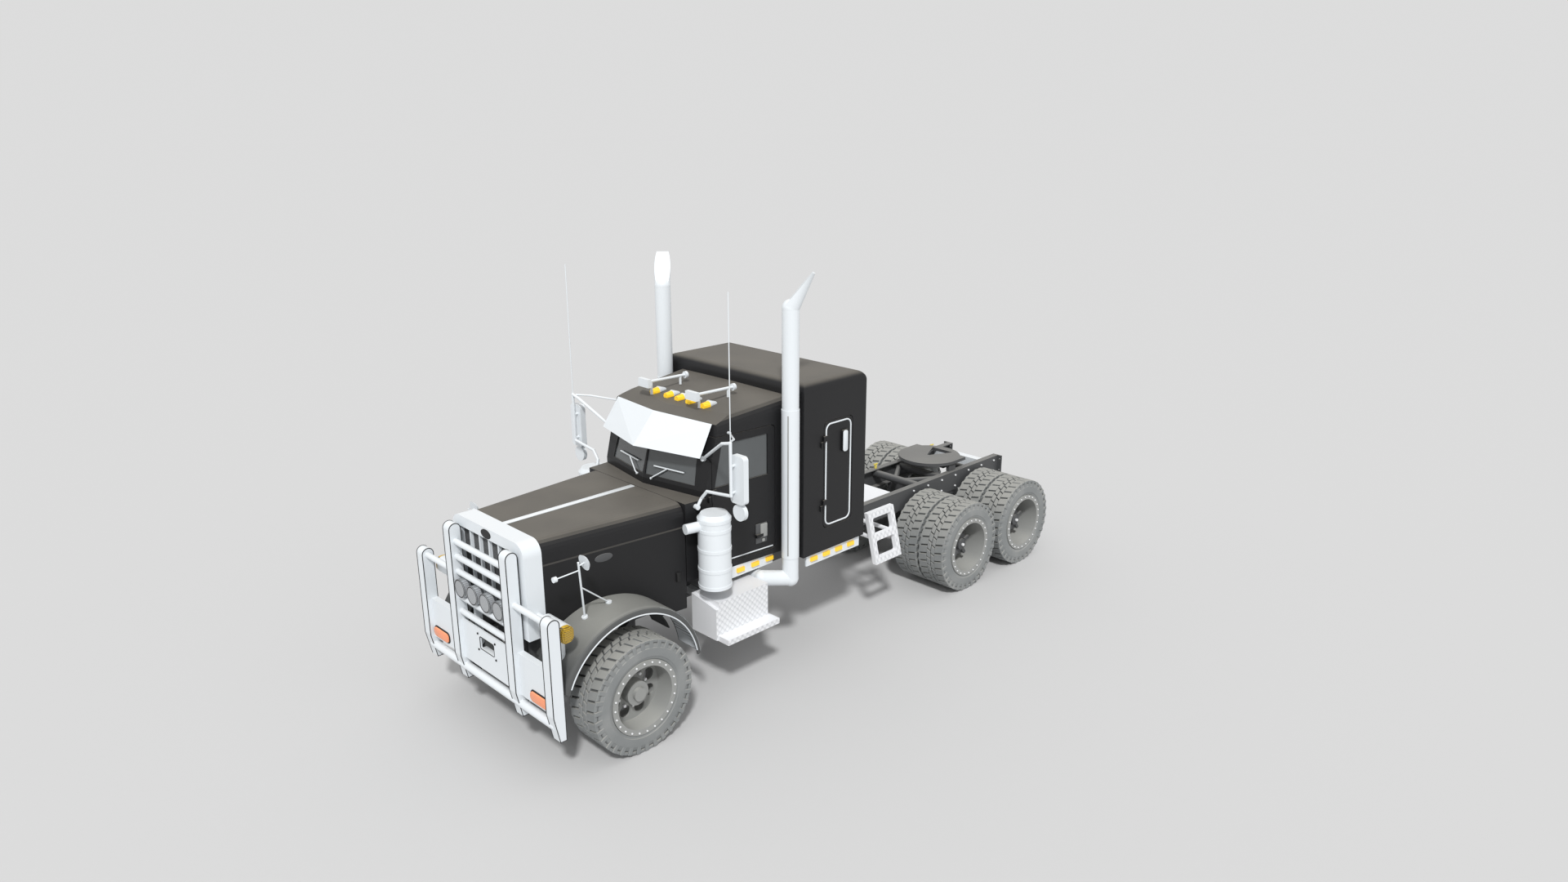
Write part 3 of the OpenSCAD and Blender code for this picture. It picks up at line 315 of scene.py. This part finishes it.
def capsule_box(low, high, axis, radius, edge):
    sized_cube(low, high)
    bpy.ops.object.mode_set(mode="EDIT")
    for along, offset, segments in ((True, radius, 6), (False, edge, 2)):
        mesh = bmesh.from_edit_mesh(bpy.context.object.data)
        for line in mesh.edges:
            run = (line.verts[1].co - line.verts[0].co).normalized()
            line.select_set((abs(run[axis]) > 0.9) == along)
        bmesh.update_edit_mesh(bpy.context.object.data)
        bpy.ops.mesh.select_mode(type="EDGE")
        bpy.ops.mesh.bevel(offset=offset, segments=segments, affect="EDGES")
    bpy.ops.mesh.select_mode(type="VERT")
    bpy.ops.object.mode_set(mode="OBJECT")
    return bpy.context.object


def select_where(test):
    bpy.ops.mesh.select_all(action="DESELECT")
    mesh = bmesh.from_edit_mesh(bpy.context.object.data)
    for vertex in mesh.verts:
        vertex.select = test(vertex.co)
    mesh.select_flush_mode()
    bmesh.update_edit_mesh(bpy.context.object.data)


def outward():
    bpy.ops.mesh.select_all(action="SELECT")
    bpy.ops.mesh.normals_make_consistent(inside=False)
    bpy.ops.object.mode_set(mode="OBJECT")
    return bpy.context.object


# %% [markdown]
# ## Copying, joining and handing over
# What repeats on the truck is modelled once and copied, each copy with its own mesh. Array modifiers could
# do that too, but plain copies can be joined and mirrored in one go. `hand_over` gives a finished piece its
# name, its finish and the body that it moves with.

# %% Helpers that copy, join and hand over
def copy_of(piece, matrix):
    twin = piece.copy()
    twin.data = piece.data.copy()
    twin.data.transform(matrix)
    if matrix.determinant() < 0:
        twin.data.flip_normals()
    bpy.context.collection.objects.link(twin)
    return twin


def copied_round(piece, count, phase=0.0, centre=(0, 0, 0)):
    turns = [Matrix.Rotation(2 * math.pi * (i + phase) / count, 4, "X") for i in range(count)]
    copies = [copy_of(piece, Matrix.Translation(centre) @ turn) for turn in turns]
    bpy.data.objects.remove(piece)
    return copies


def joined(parts):
    fresh()
    for part in parts:
        part.select_set(True)
    bpy.context.view_layer.objects.active = parts[0]
    if len(parts) > 1:
        bpy.ops.object.join()
    return bpy.context.object


def both_sides(piece):
    return joined([piece, copy_of(piece, MIRROR)])


def on_side(piece, side):
    if side == "right":
        piece.data.transform(MIRROR)
        piece.data.flip_normals()
    return piece


def hand_over(piece, name, body, finish, smooth=35):
    fresh()
    piece.select_set(True)
    bpy.context.view_layer.objects.active = piece
    bpy.ops.object.shade_smooth_by_angle(angle=math.radians(smooth))
    piece.name = name
    piece.data.name = name
    piece.data.materials.clear()
    piece.data.materials.append(FINISH[finish])
    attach(piece, body)
    return piece


# %% [markdown]
# ## Lines and loops
# Trim, seams and outlines follow a line. One point is extruded from stop to stop, as by hand, and a curve's
# bevel then gives the line a round section. A loop with round corners is made of four quarter circles.

# %% Helpers for lines and loops
def walked_wire(stops):
    fresh()
    bpy.ops.mesh.primitive_plane_add(size=0.01, location=stops[0])
    place_applied()
    bpy.ops.object.mode_set(mode="EDIT")
    bpy.ops.mesh.select_all(action="SELECT")
    bpy.ops.mesh.merge(type="CENTER")
    for a, b in zip(stops, stops[1:]):
        step = Vector(b) - Vector(a)
        bpy.ops.mesh.extrude_region_move(TRANSFORM_OT_translate={"value": step})
    bpy.ops.mesh.select_all(action="SELECT")
    return bpy.context.object


def outline_tube(points, radius):
    walked_wire(list(points) + [points[0]])
    bpy.ops.mesh.remove_doubles(threshold=0.0002)
    bpy.ops.object.mode_set(mode="OBJECT")
    bpy.ops.object.convert(target="CURVE")
    bpy.context.object.data.bevel_depth = radius
    bpy.context.object.data.bevel_resolution = 2
    bpy.ops.object.convert(target="MESH")
    return bpy.context.object


def rounded_loop(a0, a1, z0, z1, r, steps=6):
    corners = [(a1 - r, z1 - r, 0), (a0 + r, z1 - r, 90), (a0 + r, z0 + r, 180), (a1 - r, z0 + r, 270)]
    angles = [(a, z, math.radians(start + 90 * i / steps))
              for a, z, start in corners for i in range(steps + 1)]
    return [(a + r * math.cos(t), z + r * math.sin(t)) for a, z, t in angles]


print("tyre radius %.3f m" % TYRE_R)

# %% [markdown]
# ## Tyres
# The real tyres are coarse off-road ones: a bulged carcass with ridged sidewalls, two rows of shoulder lugs
# and a zig-zag of smaller blocks between. A section spun about the axle gives the carcass. One lug of each
# kind is bevelled, skewed and copied round, which keeps every edge crisp without a heavy mesh.

# %% One tyre about the X axis
PITCHES = 34
RIM_R = 0.330
TREAD_DEPTH = 0.022
LUG_DEPTH, SIDE_LUG_DEPTH = 0.03, 0.085


def carcass(width):
    half = width / 2
    crown = TYRE_R - TREAD_DEPTH
    section = [(RIM_R, -half + 0.024), (RIM_R + 0.044, -half + 0.023), (RIM_R + 0.05, -half + 0.012),
               (RIM_R + 0.075, -half + 0.006), (RIM_R + 0.08, -half + 0.001), (RIM_R + 0.12, -half),
               (RIM_R + 0.16, -half + 0.003), (RIM_R + 0.165, -half + 0.008), (crown - 0.03, -half + 0.012),
               (crown - 0.008, -half + 0.028), (crown, -half + 0.05)]
    section += [(r, -x) for r, x in reversed(section)]
    walked_wire([(x, 0, r) for r, x in section + section[:1]])
    bpy.ops.mesh.spin(steps=72, angle=2 * math.pi, center=(0, 0, 0), axis=ACROSS)
    bpy.ops.mesh.select_all(action="SELECT")
    bpy.ops.mesh.remove_doubles(threshold=0.0005)
    shell = outward()
    # The crown between the lugs is marked for the painted shade in the grooves.
    groove = shell.data.attributes.new("groove", "FLOAT", "POINT")
    for vertex, mark in zip(shell.data.vertices, groove.data):
        mark.value = 1.0 if math.hypot(vertex.co.y, vertex.co.z) > crown - 0.02 else 0.0
    return shell


def lug(x0, x1, share, skew, depth):
    length = share * 2 * math.pi * TYRE_R / PITCHES
    top = math.sqrt(TYRE_R ** 2 - (length / 2) ** 2) - 0.001
    lean = skew * (x1 - x0)
    sized_cube((x0, -lean / 2 - length / 2, top - depth), (x1, -lean / 2 + length / 2, top))
    bpy.ops.object.mode_set(mode="EDIT")
    select_where(lambda spot: spot.x > (x0 + x1) / 2)
    bpy.ops.transform.translate(value=(0, lean, 0))
    bpy.ops.mesh.select_all(action="SELECT")
    return bevelled(0.004, 1)


def whole_tyre(width):
    edge = width / 2 - 0.012
    shoulder = edge - 0.315 * width
    centre = 0.145 * width
    rows = [(-edge, -shoulder, 0.80, 0.22, LUG_DEPTH, 0.0), (shoulder, edge, 0.80, 0.22, LUG_DEPTH, 0.5),
            (-centre, -0.006, 0.84, -0.45, LUG_DEPTH, 0.35), (0.006, centre, 0.84, -0.45, LUG_DEPTH, 0.85),
            (-edge - 0.008, -edge + 0.02, 0.42, 0.0, SIDE_LUG_DEPTH, 0.5),
            (edge - 0.02, edge + 0.008, 0.42, 0.0, SIDE_LUG_DEPTH, 0.0)]
    parts = [carcass(width)]
    for x0, x1, share, skew, depth, phase in rows:
        parts += copied_round(lug(x0, x1, share, skew, depth), PITCHES, phase)
    return joined(parts)


# %% [markdown]
# ## A tyre on every wheel
# The front wheels carry one tyre each and the rear ones two. The two patterns are copied to where the plain
# solids are, which they stand for, and twins are joined, since they turn as one.

# %% A tyre on every wheel
FRONT_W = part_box("front_tyre_left")[1].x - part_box("front_tyre_left")[0].x
WIDTH = {"front": FRONT_W, "rear": 0.385}
WHEELS = {}
for side, sign in (("left", 1), ("right", -1)):
    WHEELS["front_wheel_" + side] = ("front_tyre_" + side, "front", sign)
    WHEELS["drive_wheels_" + side] = ("drive_tyres_" + side, "rear", sign)
    WHEELS["tag_wheels_" + side] = ("tag_tyres_" + side, "rear", sign)
patterns = {kind: whole_tyre(width) for kind, width in WIDTH.items()}
for body, (node, kind, sign) in WHEELS.items():
    low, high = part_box(node)
    inset = WIDTH[kind] / 2
    places = [low.x + inset] if kind == "front" else [low.x + inset, high.x - inset]
    spots = [Matrix.Translation((x, (low.y + high.y) / 2, TYRE_R)) for x in places]
    tyre = joined([copy_of(patterns[kind], spot) for spot in spots])
    tyre = hand_over(tyre, "tread_" + node, body, "tyre", 30)
    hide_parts(node)
for pattern in patterns.values():
    bpy.data.objects.remove(pattern)
print("tyres", len(WHEELS))

# %% [markdown]
# ## Bolts and hubs
# A ring of bright bolts clamps the tyre's outer bead on each wheel, and nuts hold the hub. They are
# modelled once as a bevelled hexagon and copied round, so they ride with the wheel. The rear hubs stand out
# of the deep rims as two stepped drums with five lugs.

# %% Rim bolts, hub nuts and rear hubs
BOLTS, BOLT_RING_R, BOLT_R, BOLT_DEPTH = 24, 0.352, 0.010, 0.016
NUTS, NUT_RING_R, NUT_R, NUT_DEPTH = 10, 0.165, 0.017, 0.034
TIP_NUT_R, TIP_NUT_DEPTH = 0.022, 0.03
HUB_LUGS = 5
HUB_FACE = {"front": -0.017, "rear": 0.02}
for body, (node, kind, sign) in WHEELS.items():
    low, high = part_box(node)
    centre = Vector((0, (low.y + high.y) / 2, TYRE_R))
    face = high.x if sign > 0 else low.x
    rim_low, rim_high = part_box(node.replace("tyres", "rims").replace("tyre", "rim"))
    hub = (rim_low.x + rim_high.x) / 2 + sign * HUB_FACE[kind]
    rings = [(BOLTS, BOLT_RING_R, face + sign * 0.002, BOLT_R, BOLT_DEPTH),
             (NUTS, NUT_RING_R, hub + sign * 0.008, NUT_R, NUT_DEPTH)]
    if kind == "rear":
        tip = face - sign * 0.12
        rings.append((1, 0.0, tip + sign * 0.012, TIP_NUT_R, TIP_NUT_DEPTH))
        steps = [(hub, tip - sign * 0.05, 0.15), (tip - sign * 0.06, tip, 0.075)]
        drums = [bevelled_disc(centre + Vector(((a + b) / 2, 0, 0)), ACROSS, r, abs(b - a), 0.012)
                 for a, b, r in steps]
        middle = tip - sign * 0.055
        hub_lug = bevelled_box((middle - 0.03, -0.022, 0.095), (middle + 0.03, 0.022, 0.185), 0.008)
        drums += copied_round(hub_lug, HUB_LUGS, 0.0, centre)
        hand_over(joined(drums), "hub_" + node, body, "frame_steel")
    parts = []
    for count, radius, x, size, depth in rings:
        bolt = bevelled_disc((x, 0, radius), ACROSS, size, depth, size * 0.25, 6)
        parts += copied_round(bolt, count, 0.0, centre)
    hand_over(joined(parts), "bolts_" + node, body, "bright_bolt")
print("wheels with bolts", len(WHEELS))

# %% [markdown]
# ## Bright trim
# Thin bright lines draw the shape of the truck. The first is a strip down the middle of the hood. It could
# be painted by a mask in the hood's finish, but a low bevelled bar catches the light on its edges as the
# real one does.

# %% Hood strip
STRIP_HALF = 0.032
hood_low, hood_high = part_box("hood")
strip = bevelled_box((-STRIP_HALF, hood_low.y + 0.004, hood_high.z - 0.003),
                     (STRIP_HALF, hood_high.y - 0.02, hood_high.z + 0.007), 0.003)
hand_over(strip, "hood_strip", "hood_body", "white_paint")
print("hood strip", round(strip.dimensions.y, 2), "m")

# %% [markdown]
# ## Fender lips
# A bright bead runs round the edge of each front wheel arch. A tube along a path would do, but a small circle
# spun about the wheel's centre follows the arch exactly and needs no path.

# %% Fender lips
ARCH_R, LIP_R = 0.775, 0.007
LIP_START, LIP_SWEEP = math.radians(12), math.radians(144)
WHEEL_CENTRE = (0, AXLE_Y, TYRE_R)
FENDER_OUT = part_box("fenders")[1].x
fresh()
bpy.ops.mesh.primitive_circle_add(vertices=8, radius=LIP_R, fill_type="NOTHING",
                                  location=(FENDER_OUT, AXLE_Y + ARCH_R, TYRE_R))
place_applied()
to_centre = Matrix.Translation(WHEEL_CENTRE)
bpy.context.object.data.transform(to_centre @ Matrix.Rotation(LIP_START, 4, "X") @ to_centre.inverted())
bpy.ops.object.mode_set(mode="EDIT")
bpy.ops.mesh.select_all(action="SELECT")
bpy.ops.mesh.spin(steps=40, angle=LIP_SWEEP, center=WHEEL_CENTRE, axis=(-1, 0, 0))
bpy.ops.mesh.select_all(action="SELECT")
bpy.ops.mesh.edge_face_add()
lip = both_sides(outward())
hand_over(lip, "fender_lips", "hood_body", "white_paint")
print("fender lips", len(lip.data.polygons), "faces")

# %% [markdown]
# ## Fender linings
# Behind the tyre, the inside of each fender is white and catches the light. A thin bar is laid against it and
# its upper end is spun about the wheel's centre, so the sheet keeps its thickness all the way round.

# %% White lining inside the rear of each fender
LINING_R, LINING_RISE, LINING_SWEEP = 0.818, 0.12, math.radians(58)
fresh()
bpy.ops.mesh.primitive_cube_add(size=1, scale=(0.33, 0.006, 0.002),
                                location=(FENDER_OUT - 0.19, AXLE_Y + LINING_R, TYRE_R + LINING_RISE))
place_applied()
bpy.ops.object.mode_set(mode="EDIT")
select_where(lambda spot: spot.z > TYRE_R + LINING_RISE)
bpy.ops.mesh.spin(steps=20, angle=LINING_SWEEP, center=WHEEL_CENTRE, axis=(-1, 0, 0))
lining = both_sides(outward())
hand_over(lining, "fender_linings", "hood_body", "white_paint")
print("fender linings", len(lining.data.polygons), "faces")

# %% [markdown]
# ## Sleeper hatches
# Each hatch has a white frame with round corners and an upright white grip. The frame is a rounded loop given
# thickness, because a bevelled curve keeps its width at the corners. The grip is a bar with round ends.

# %% Hatch frames and handles
SLEEPER_HALF = 1.113
HATCH_Y = (AXLE_Y + 2.61, AXLE_Y + 3.06)
HATCH_Z = (1.49, 2.69)
FRAME_INSET = 0.03
GRIP_Y, GRIP_Z = HATCH_Y[1] - 0.140, HATCH_Z[1] - 0.26
for side in ("left", "right"):
    around = rounded_loop(HATCH_Y[0] + FRAME_INSET, HATCH_Y[1] - FRAME_INSET,
                          HATCH_Z[0] + FRAME_INSET, HATCH_Z[1] - FRAME_INSET, 0.07)
    loop = outline_tube([(SLEEPER_HALF, y, z) for y, z in around], 0.009)
    grip = capsule_box((SLEEPER_HALF + 0.018, GRIP_Y - 0.034, GRIP_Z - 0.118),
                       (SLEEPER_HALF + 0.034, GRIP_Y + 0.034, GRIP_Z + 0.118), 0, 0.026, 0.004)
    for part, name in ((loop, "hatch_frame_"), (grip, "hatch_grip_")):
        hand_over(on_side(part, side), name + side, "hatch_" + side, "white_paint")
print("hatches framed", 2)

# %% [markdown]
# ## Cab doors
# A dark plate with a lever sits low at the rear of each door, and a white line runs along its sill. They are
# modelled square to the frame and then turned, because the cab's side tapers towards the front.

# %% Door handles and sill lines
CAB_TAPER = math.atan2(0.1, 1.2)
CAB_WALL = Matrix.Translation((0.82, AXLE_Y + 1.1, 0)) @ Matrix.Rotation(-CAB_TAPER, 4, "Z")
for side in ("left", "right"):
    plate = bevelled_box((-0.004, 0.72, 1.47), (0.010, 0.87, 1.69), 0.006)
    lever = joined([bevelled_box((0.004, 0.775, 1.535), (0.026, 0.865, 1.685), 0.010, 3),
                    bevelled_box((0.004, 0.80, 1.482), (0.020, 0.835, 1.515), 0.006)])
    sill = bevelled_box((-0.004, 0.20, 1.392), (0.006, 0.955, 1.404), 0.003)
    pieces = [(plate, "handle_plate_", "frame_steel", "frame_steel"),
              (lever, "handle_lever_", "rim_paint", "white_paint"),
              (sill, "sill_line_", "white_paint", "white_paint")]
    for part, name, finish, slot in pieces:
        part.data.transform(CAB_WALL)
        hand_over(on_side(part, side), name + side, "cab_door_" + side, finish)
print("doors with handles", 2)

# %% [markdown]
# ## Dark outlines on the guard
# The edges of the four guard uprights read as thin dark lines. A rounded loop on both faces of each plate,
# a few millimetres thick, does that with real geometry instead of paint.

# %% Guard outlines
GUARD_BACK = AXLE_Y - 0.81
GUARD_R = 0.06
GUARD_MID = GUARD_BACK - GUARD_R
GUARD_HALF_W = 0.0575
GUARD_FOOT, GUARD_KNEE = 0.44, 0.70
UPRIGHTS = ((0.505, 2.08), (1.125, 1.64))


def upright_loop(x, top):
    turns = [math.radians(180 * i / 12) for i in range(13)]
    crown = [(x, GUARD_MID + GUARD_R * math.cos(t), top - GUARD_R + GUARD_R * math.sin(t)) for t in turns]
    return crown + [(x, GUARD_MID - GUARD_R, GUARD_KNEE), (x, GUARD_MID - GUARD_R + 0.055, GUARD_FOOT),
                    (x, GUARD_BACK, GUARD_FOOT)]


loops = [outline_tube(upright_loop(x + face, top), 0.0045)
         for x, top in UPRIGHTS for face in (-GUARD_HALF_W, GUARD_HALF_W)]
hand_over(both_sides(joined(loops)), "guard_outlines", "guard_body", "black_line")
print("guard outlines", len(loops) * 2)

# %% [markdown]
# ## Hood latches and side plates
# A latch holds each side of the hood down at the rear, and a bare oval plate sits further forward. All
# small fittings start as bevelled boxes and discs, sunk a little into what carries them, so nothing floats.
# An oval is a disc stretched along one axis before it is put in place.


# %% Hood latches and bare badge plates
def oval(radius, height, stretch, axis):
    disc = bevelled_disc((0, 0, 0), UP, radius, height, 0.004, 40)
    disc.data.transform(Matrix.Scale(stretch, 4, axis))
    return disc


HOOD_TAPER = math.atan2(0.17, 1.53)
QUARTER = math.radians(90)
latch = bevelled_box((0.77, AXLE_Y + 0.81, 1.33), (0.81, AXLE_Y + 0.86, 1.43), 0.006)
hand_over(both_sides(latch), "hood_latches", "hood_body", "black_line")
badge = oval(0.04, 0.012, 2.4, ALONG)
badge.data.transform(Matrix.Translation((0.699, AXLE_Y + 0.02, 1.81)) @ Matrix.Rotation(-HOOD_TAPER, 4, "Z")
                     @ Matrix.Rotation(QUARTER, 4, "Y"))
hand_over(both_sides(badge), "badge_plates", "hood_body", "frame_steel")
print("latches and badge plates", 4)

# %% [markdown]
# ## Winch window
# The guard's middle plate has a window with a dark line round it, four bolts and a lip above and below. The
# opening itself is in the solid; the lips give its edge the depth of a folded sheet.

# %% Winch window
WINCH_HALF, WINCH_Z = 0.13, (0.885, 1.015)
PLATE_FRONT = GUARD_MID - 0.010


def front_loop(a0, a1, z0, z1, r, radius):
    return outline_tube([(x, PLATE_FRONT, z) for x, z in rounded_loop(a0, a1, z0, z1, r)], radius)


winch_bolts = [bevelled_disc((0.157, PLATE_FRONT - 0.002, z), ALONG, 0.011, 0.014, 0.003, 12)
               for z in (1.035, 0.866)]
hand_over(both_sides(joined(winch_bolts)), "winch_bolts", "guard_body", "black_line")
window = front_loop(-WINCH_HALF, WINCH_HALF, *WINCH_Z, 0.02, 0.0035)
hand_over(window, "winch_outline", "guard_body", "black_line")
LIP_Y = (PLATE_FRONT + 0.001, GUARD_BACK - 0.005)
lips = [bevelled_box((-WINCH_HALF, LIP_Y[0], z), (WINCH_HALF, LIP_Y[1], z + 0.008), 0.002)
        for z in (WINCH_Z[0] - 0.007, WINCH_Z[1] - 0.001)]
hand_over(joined(lips), "winch_sills", "guard_body", "white_paint")
print("winch bolts", len(winch_bolts) * 2)

# %% [markdown]
# ## Marker lamps
# Two orange lamps with round ends sit low on the guard, each in a dark rim. A bar with its corners rounded
# gives the lens, and a loop of round section hides the joint between lens and plate.

# %% Marker lamps on the guard
MARKER_X, MARKER_Z = (0.755, 1.045), (0.704, 0.802)
RIM_GAP = 0.003
marker = capsule_box((MARKER_X[0], PLATE_FRONT - 0.022, MARKER_Z[0]),
                     (MARKER_X[1], PLATE_FRONT, MARKER_Z[1]), 1, 0.042, 0.006)
marker = hand_over(both_sides(marker), "marker_lenses", "guard_body", "orange_lens")
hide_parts("guard_markers")
marker_rim = front_loop(MARKER_X[0] - RIM_GAP, MARKER_X[1] + RIM_GAP,
                        MARKER_Z[0] - RIM_GAP, MARKER_Z[1] + RIM_GAP, 0.04, 0.010)
hand_over(both_sides(marker_rim), "marker_rims", "guard_body", "black_line")
print("guard markers", 2)

# %% [markdown]
# ## Lamp rings
# The driving lamps have dark rings. A torus is the quickest start, and squeezing it from front to back gives
# the flatter ring of a real lamp. One side is made and mirrored.

# %% Lamp rings
lamp_low, lamp_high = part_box("guard_lamps")
LAMP_Z = lamp_high.z - 0.095
rings = []
for x in (0.115, 0.345):
    fresh()
    bpy.ops.mesh.primitive_torus_add(major_radius=0.086, minor_radius=0.010, major_segments=40,
                                     minor_segments=10, location=(x, lamp_low.y + 0.008, LAMP_Z),
                                     rotation=(QUARTER, 0, 0))
    place_applied()
    bpy.ops.object.mode_set(mode="EDIT")
    bpy.ops.transform.resize(value=(1, 0.8, 1), center_override=(x, lamp_low.y, LAMP_Z))
    bpy.ops.object.mode_set(mode="OBJECT")
    rings.append(bpy.context.object)
hand_over(both_sides(joined(rings)), "lamp_rings", "guard_body", "dark_plastic")
print("lamp rings", len(rings) * 2)

# %% [markdown]
# ## Grille screen
# A fine screen behind the bars keeps leaves out of the radiator, so the gaps between the bars read as one
# dark grey. Modelling every wire would cost too many faces, so it is a thin sheet with a woven finish. A
# bare dark oval sits above the bars.

# %% Grille screen and grille plate
SCREEN_HALF, SCREEN_Y, SCREEN_Z = 0.514, AXLE_Y - 0.736, (1.27, 2.029)
screen = bevelled_box((-SCREEN_HALF, SCREEN_Y, SCREEN_Z[0]),
                      (SCREEN_HALF, SCREEN_Y + 0.006, SCREEN_Z[1]), 0.002)
hand_over(screen, "grille_screen", "hood_body", "fine_screen")
grille_plate = oval(0.045, 0.014, 1.9, ACROSS)
grille_plate.data.transform(Matrix.Translation((0, AXLE_Y - 0.79, 2.08)) @ Matrix.Rotation(QUARTER, 4, "X"))
hand_over(grille_plate, "grille_plate", "hood_body", "dark_plastic")
print("grille screen", round(screen.dimensions.x, 2), "m wide")

# %% [markdown]
# ## Shield seams
# The heat shield round each stack is rolled sheet, closed along one seam. A thin strip turned about the stack
# shows it, where cutting a groove would need a boolean on a round solid.

# %% Shield seams
STACK_X, STACK_Y, SHIELD_R = 1.02, AXLE_Y + 2.195, 0.096
SEAM_TURN = math.radians(30)
seam = bevelled_box((-0.007, -0.004, 1.30), (0.007, 0.006, 2.85), 0.002)
seam.data.transform(Matrix.Translation((STACK_X, STACK_Y, 0)) @ Matrix.Rotation(SEAM_TURN, 4, "Z")
                    @ Matrix.Translation((0, -SHIELD_R, 0)))
hand_over(both_sides(seam), "shield_seams", "chassis", "rim_paint")
print("shield seams", 2)

# %% [markdown]
# ## Rear wall
# The sleeper's rear wall carries the sockets for a trailer's air and power lines, and a seam runs round its
# panel. Bevelled discs on a low plate are enough at this size, and the seam is a rounded loop.

# %% Trailer sockets and the rear wall's seam
REAR_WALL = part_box("sleeper_shell")[1].y
SOCKET_Z = 1.59
SOCKETS = ((-0.17, 0.04), (0, 0.05), (0.17, 0.04))
socket_plate = bevelled_box((-0.26, REAR_WALL - 0.004, SOCKET_Z - 0.07),
                            (0.26, REAR_WALL + 0.012, SOCKET_Z + 0.07), 0.006)
hand_over(socket_plate, "socket_plate", "chassis", "frame_steel")
sockets = [bevelled_disc((x, REAR_WALL + 0.03, SOCKET_Z), ALONG, r, 0.05, 0.008) for x, r in SOCKETS]
hand_over(joined(sockets), "trailer_sockets", "chassis", "dark_plastic")
around = rounded_loop(-0.92, 0.92, 1.36, 2.86, 0.10)
wall_seam = outline_tube([(x, REAR_WALL, z) for x, z in around], 0.005)
hand_over(wall_seam, "rear_wall_seam", "chassis", "black_line")
print("trailer sockets", len(SOCKETS))

# %% [markdown]
# ## Mirrors and roof lights
# The mirror glass is a thin pane with a round one below it, set into the backs of the housings. Behind each
# roof light a tapered tail leads the air away. A cone is the right start for it, tilted to follow the roof.

# %% Mirror glass and tails of the roof lights
GLASS_Y = AXLE_Y + 1.215
pane = bevelled_box((1.255, GLASS_Y - 0.004, 2.235), (1.415, GLASS_Y + 0.004, 2.68), 0.003)
round_pane = bevelled_disc((1.335, GLASS_Y, 2.12), ALONG, 0.075, 0.008, 0.003, 40)
hand_over(both_sides(joined([pane, round_pane])), "mirror_glass", "chassis", "glass")
TAIL_Y, TAIL_Z, TAIL_TILT = AXLE_Y + 1.655, 2.945, math.radians(-90 - 6)
tails = []
for x in (-0.415, -0.18, 0, 0.18, 0.415):
    fresh()
    bpy.ops.mesh.primitive_cone_add(vertices=32, radius1=0.045, radius2=0.02, depth=0.11,
                                    location=(x, TAIL_Y, TAIL_Z), rotation=(TAIL_TILT, 0, 0))
    place_applied()
    tails.append(bevelled(0.006))
hand_over(joined(tails), "marker_tails", "chassis", "white_paint")
print("roof light tails", len(tails))

# %% [markdown]
# ## Frame rails
# Bolt heads sit in two rows along the rear of the frame rails, and two brass valves on one rail. A six-sided
# disc with its edges bevelled is a bolt head, and two crossed discs make a valve.

# %% Rail bolts and valves
RAIL_X, VALVE_X = 0.445, -0.40
bolts = [bevelled_disc((RAIL_X, AXLE_Y + y, z), ACROSS, 0.014, 0.02, 0.003, 6)
         for y in (5.05, 5.35, 5.65, 5.95, 6.25, 6.55, 6.85) for z in (0.985, 1.135)]
hand_over(both_sides(joined(bolts)), "rail_bolts", "chassis", "bright_bolt")
valves = []
for y in (5.28, 6.52):
    valves.append(bevelled_disc((VALVE_X, AXLE_Y + y, 1.21), UP, 0.018, 0.06, 0.005, 12))
    valves.append(bevelled_disc((VALVE_X, AXLE_Y + y, 1.25), ALONG, 0.012, 0.07, 0.004, 12))
hand_over(joined(valves), "brass_valves", "chassis", "valve_yellow")
print("rail bolts", len(bolts) * 2)

# %% [markdown]
# ## Studio
# The photo is a plain studio shot: a pale floor that runs into the background. One sun lights a floor
# evenly, so its shade can equal the backdrop's everywhere and the horizon vanishes, which area lights would
# not allow.

# %% Floor, backdrop and sun
FLOOR_SIZE = 400
SUN_TOWARD, SUN_STRENGTH, SUN_SOFTNESS = (-0.70, 0.65, -1.0), 2.26, math.radians(6)
fresh()
bpy.ops.mesh.primitive_plane_add(size=FLOOR_SIZE, location=(0, 0, 0))
floor = bpy.context.object
floor.name = "studio_floor"
ground = Finish("studio_grey")
pale = ground.set(Base_Color=rgb(0.58, 0.58, 0.58), Roughness=1.0, Specular_IOR_Level=0.0)
floor.data.materials.append(pale)

world = bpy.data.worlds.new("studio")
bpy.context.scene.world = world
world.use_nodes = True
backdrop = world.node_tree.nodes["Background"]
backdrop.inputs["Color"].default_value = rgb(0.72, 0.72, 0.72)
backdrop.inputs["Strength"].default_value = 1.0

light = bpy.data.lights.new("key", "SUN")
light.energy = SUN_STRENGTH
light.angle = SUN_SOFTNESS
lamp = bpy.data.objects.new("key", light)
lamp.rotation_euler = Vector(SUN_TOWARD).to_track_quat("-Z", "Y").to_euler()
bpy.context.collection.objects.link(lamp)
print("sun strength", light.energy)

# %% [markdown]
# ## Camera
# The camera stands in front of the truck's left corner and looks a little down. Its place was solved from
# mirrored points on the truck, so the render lines up with the photo.

# %% Camera
CAMERA_AT = (8.46297, -8.34665, 5.81027)
CAMERA_DOWN, CAMERA_TURN = 17.0927, 45.0626
camera_data = bpy.data.cameras.new("photo_camera")
camera_data.lens = 24.464
camera_data.sensor_width = 36
camera = bpy.data.objects.new("photo_camera", camera_data)
camera.location = CAMERA_AT
camera.rotation_euler = (math.radians(90 - CAMERA_DOWN), 0, math.radians(CAMERA_TURN))
bpy.context.collection.objects.link(camera)
bpy.context.scene.camera = camera
bpy.context.scene.view_settings.view_transform = "Standard"
print("camera", camera.name)
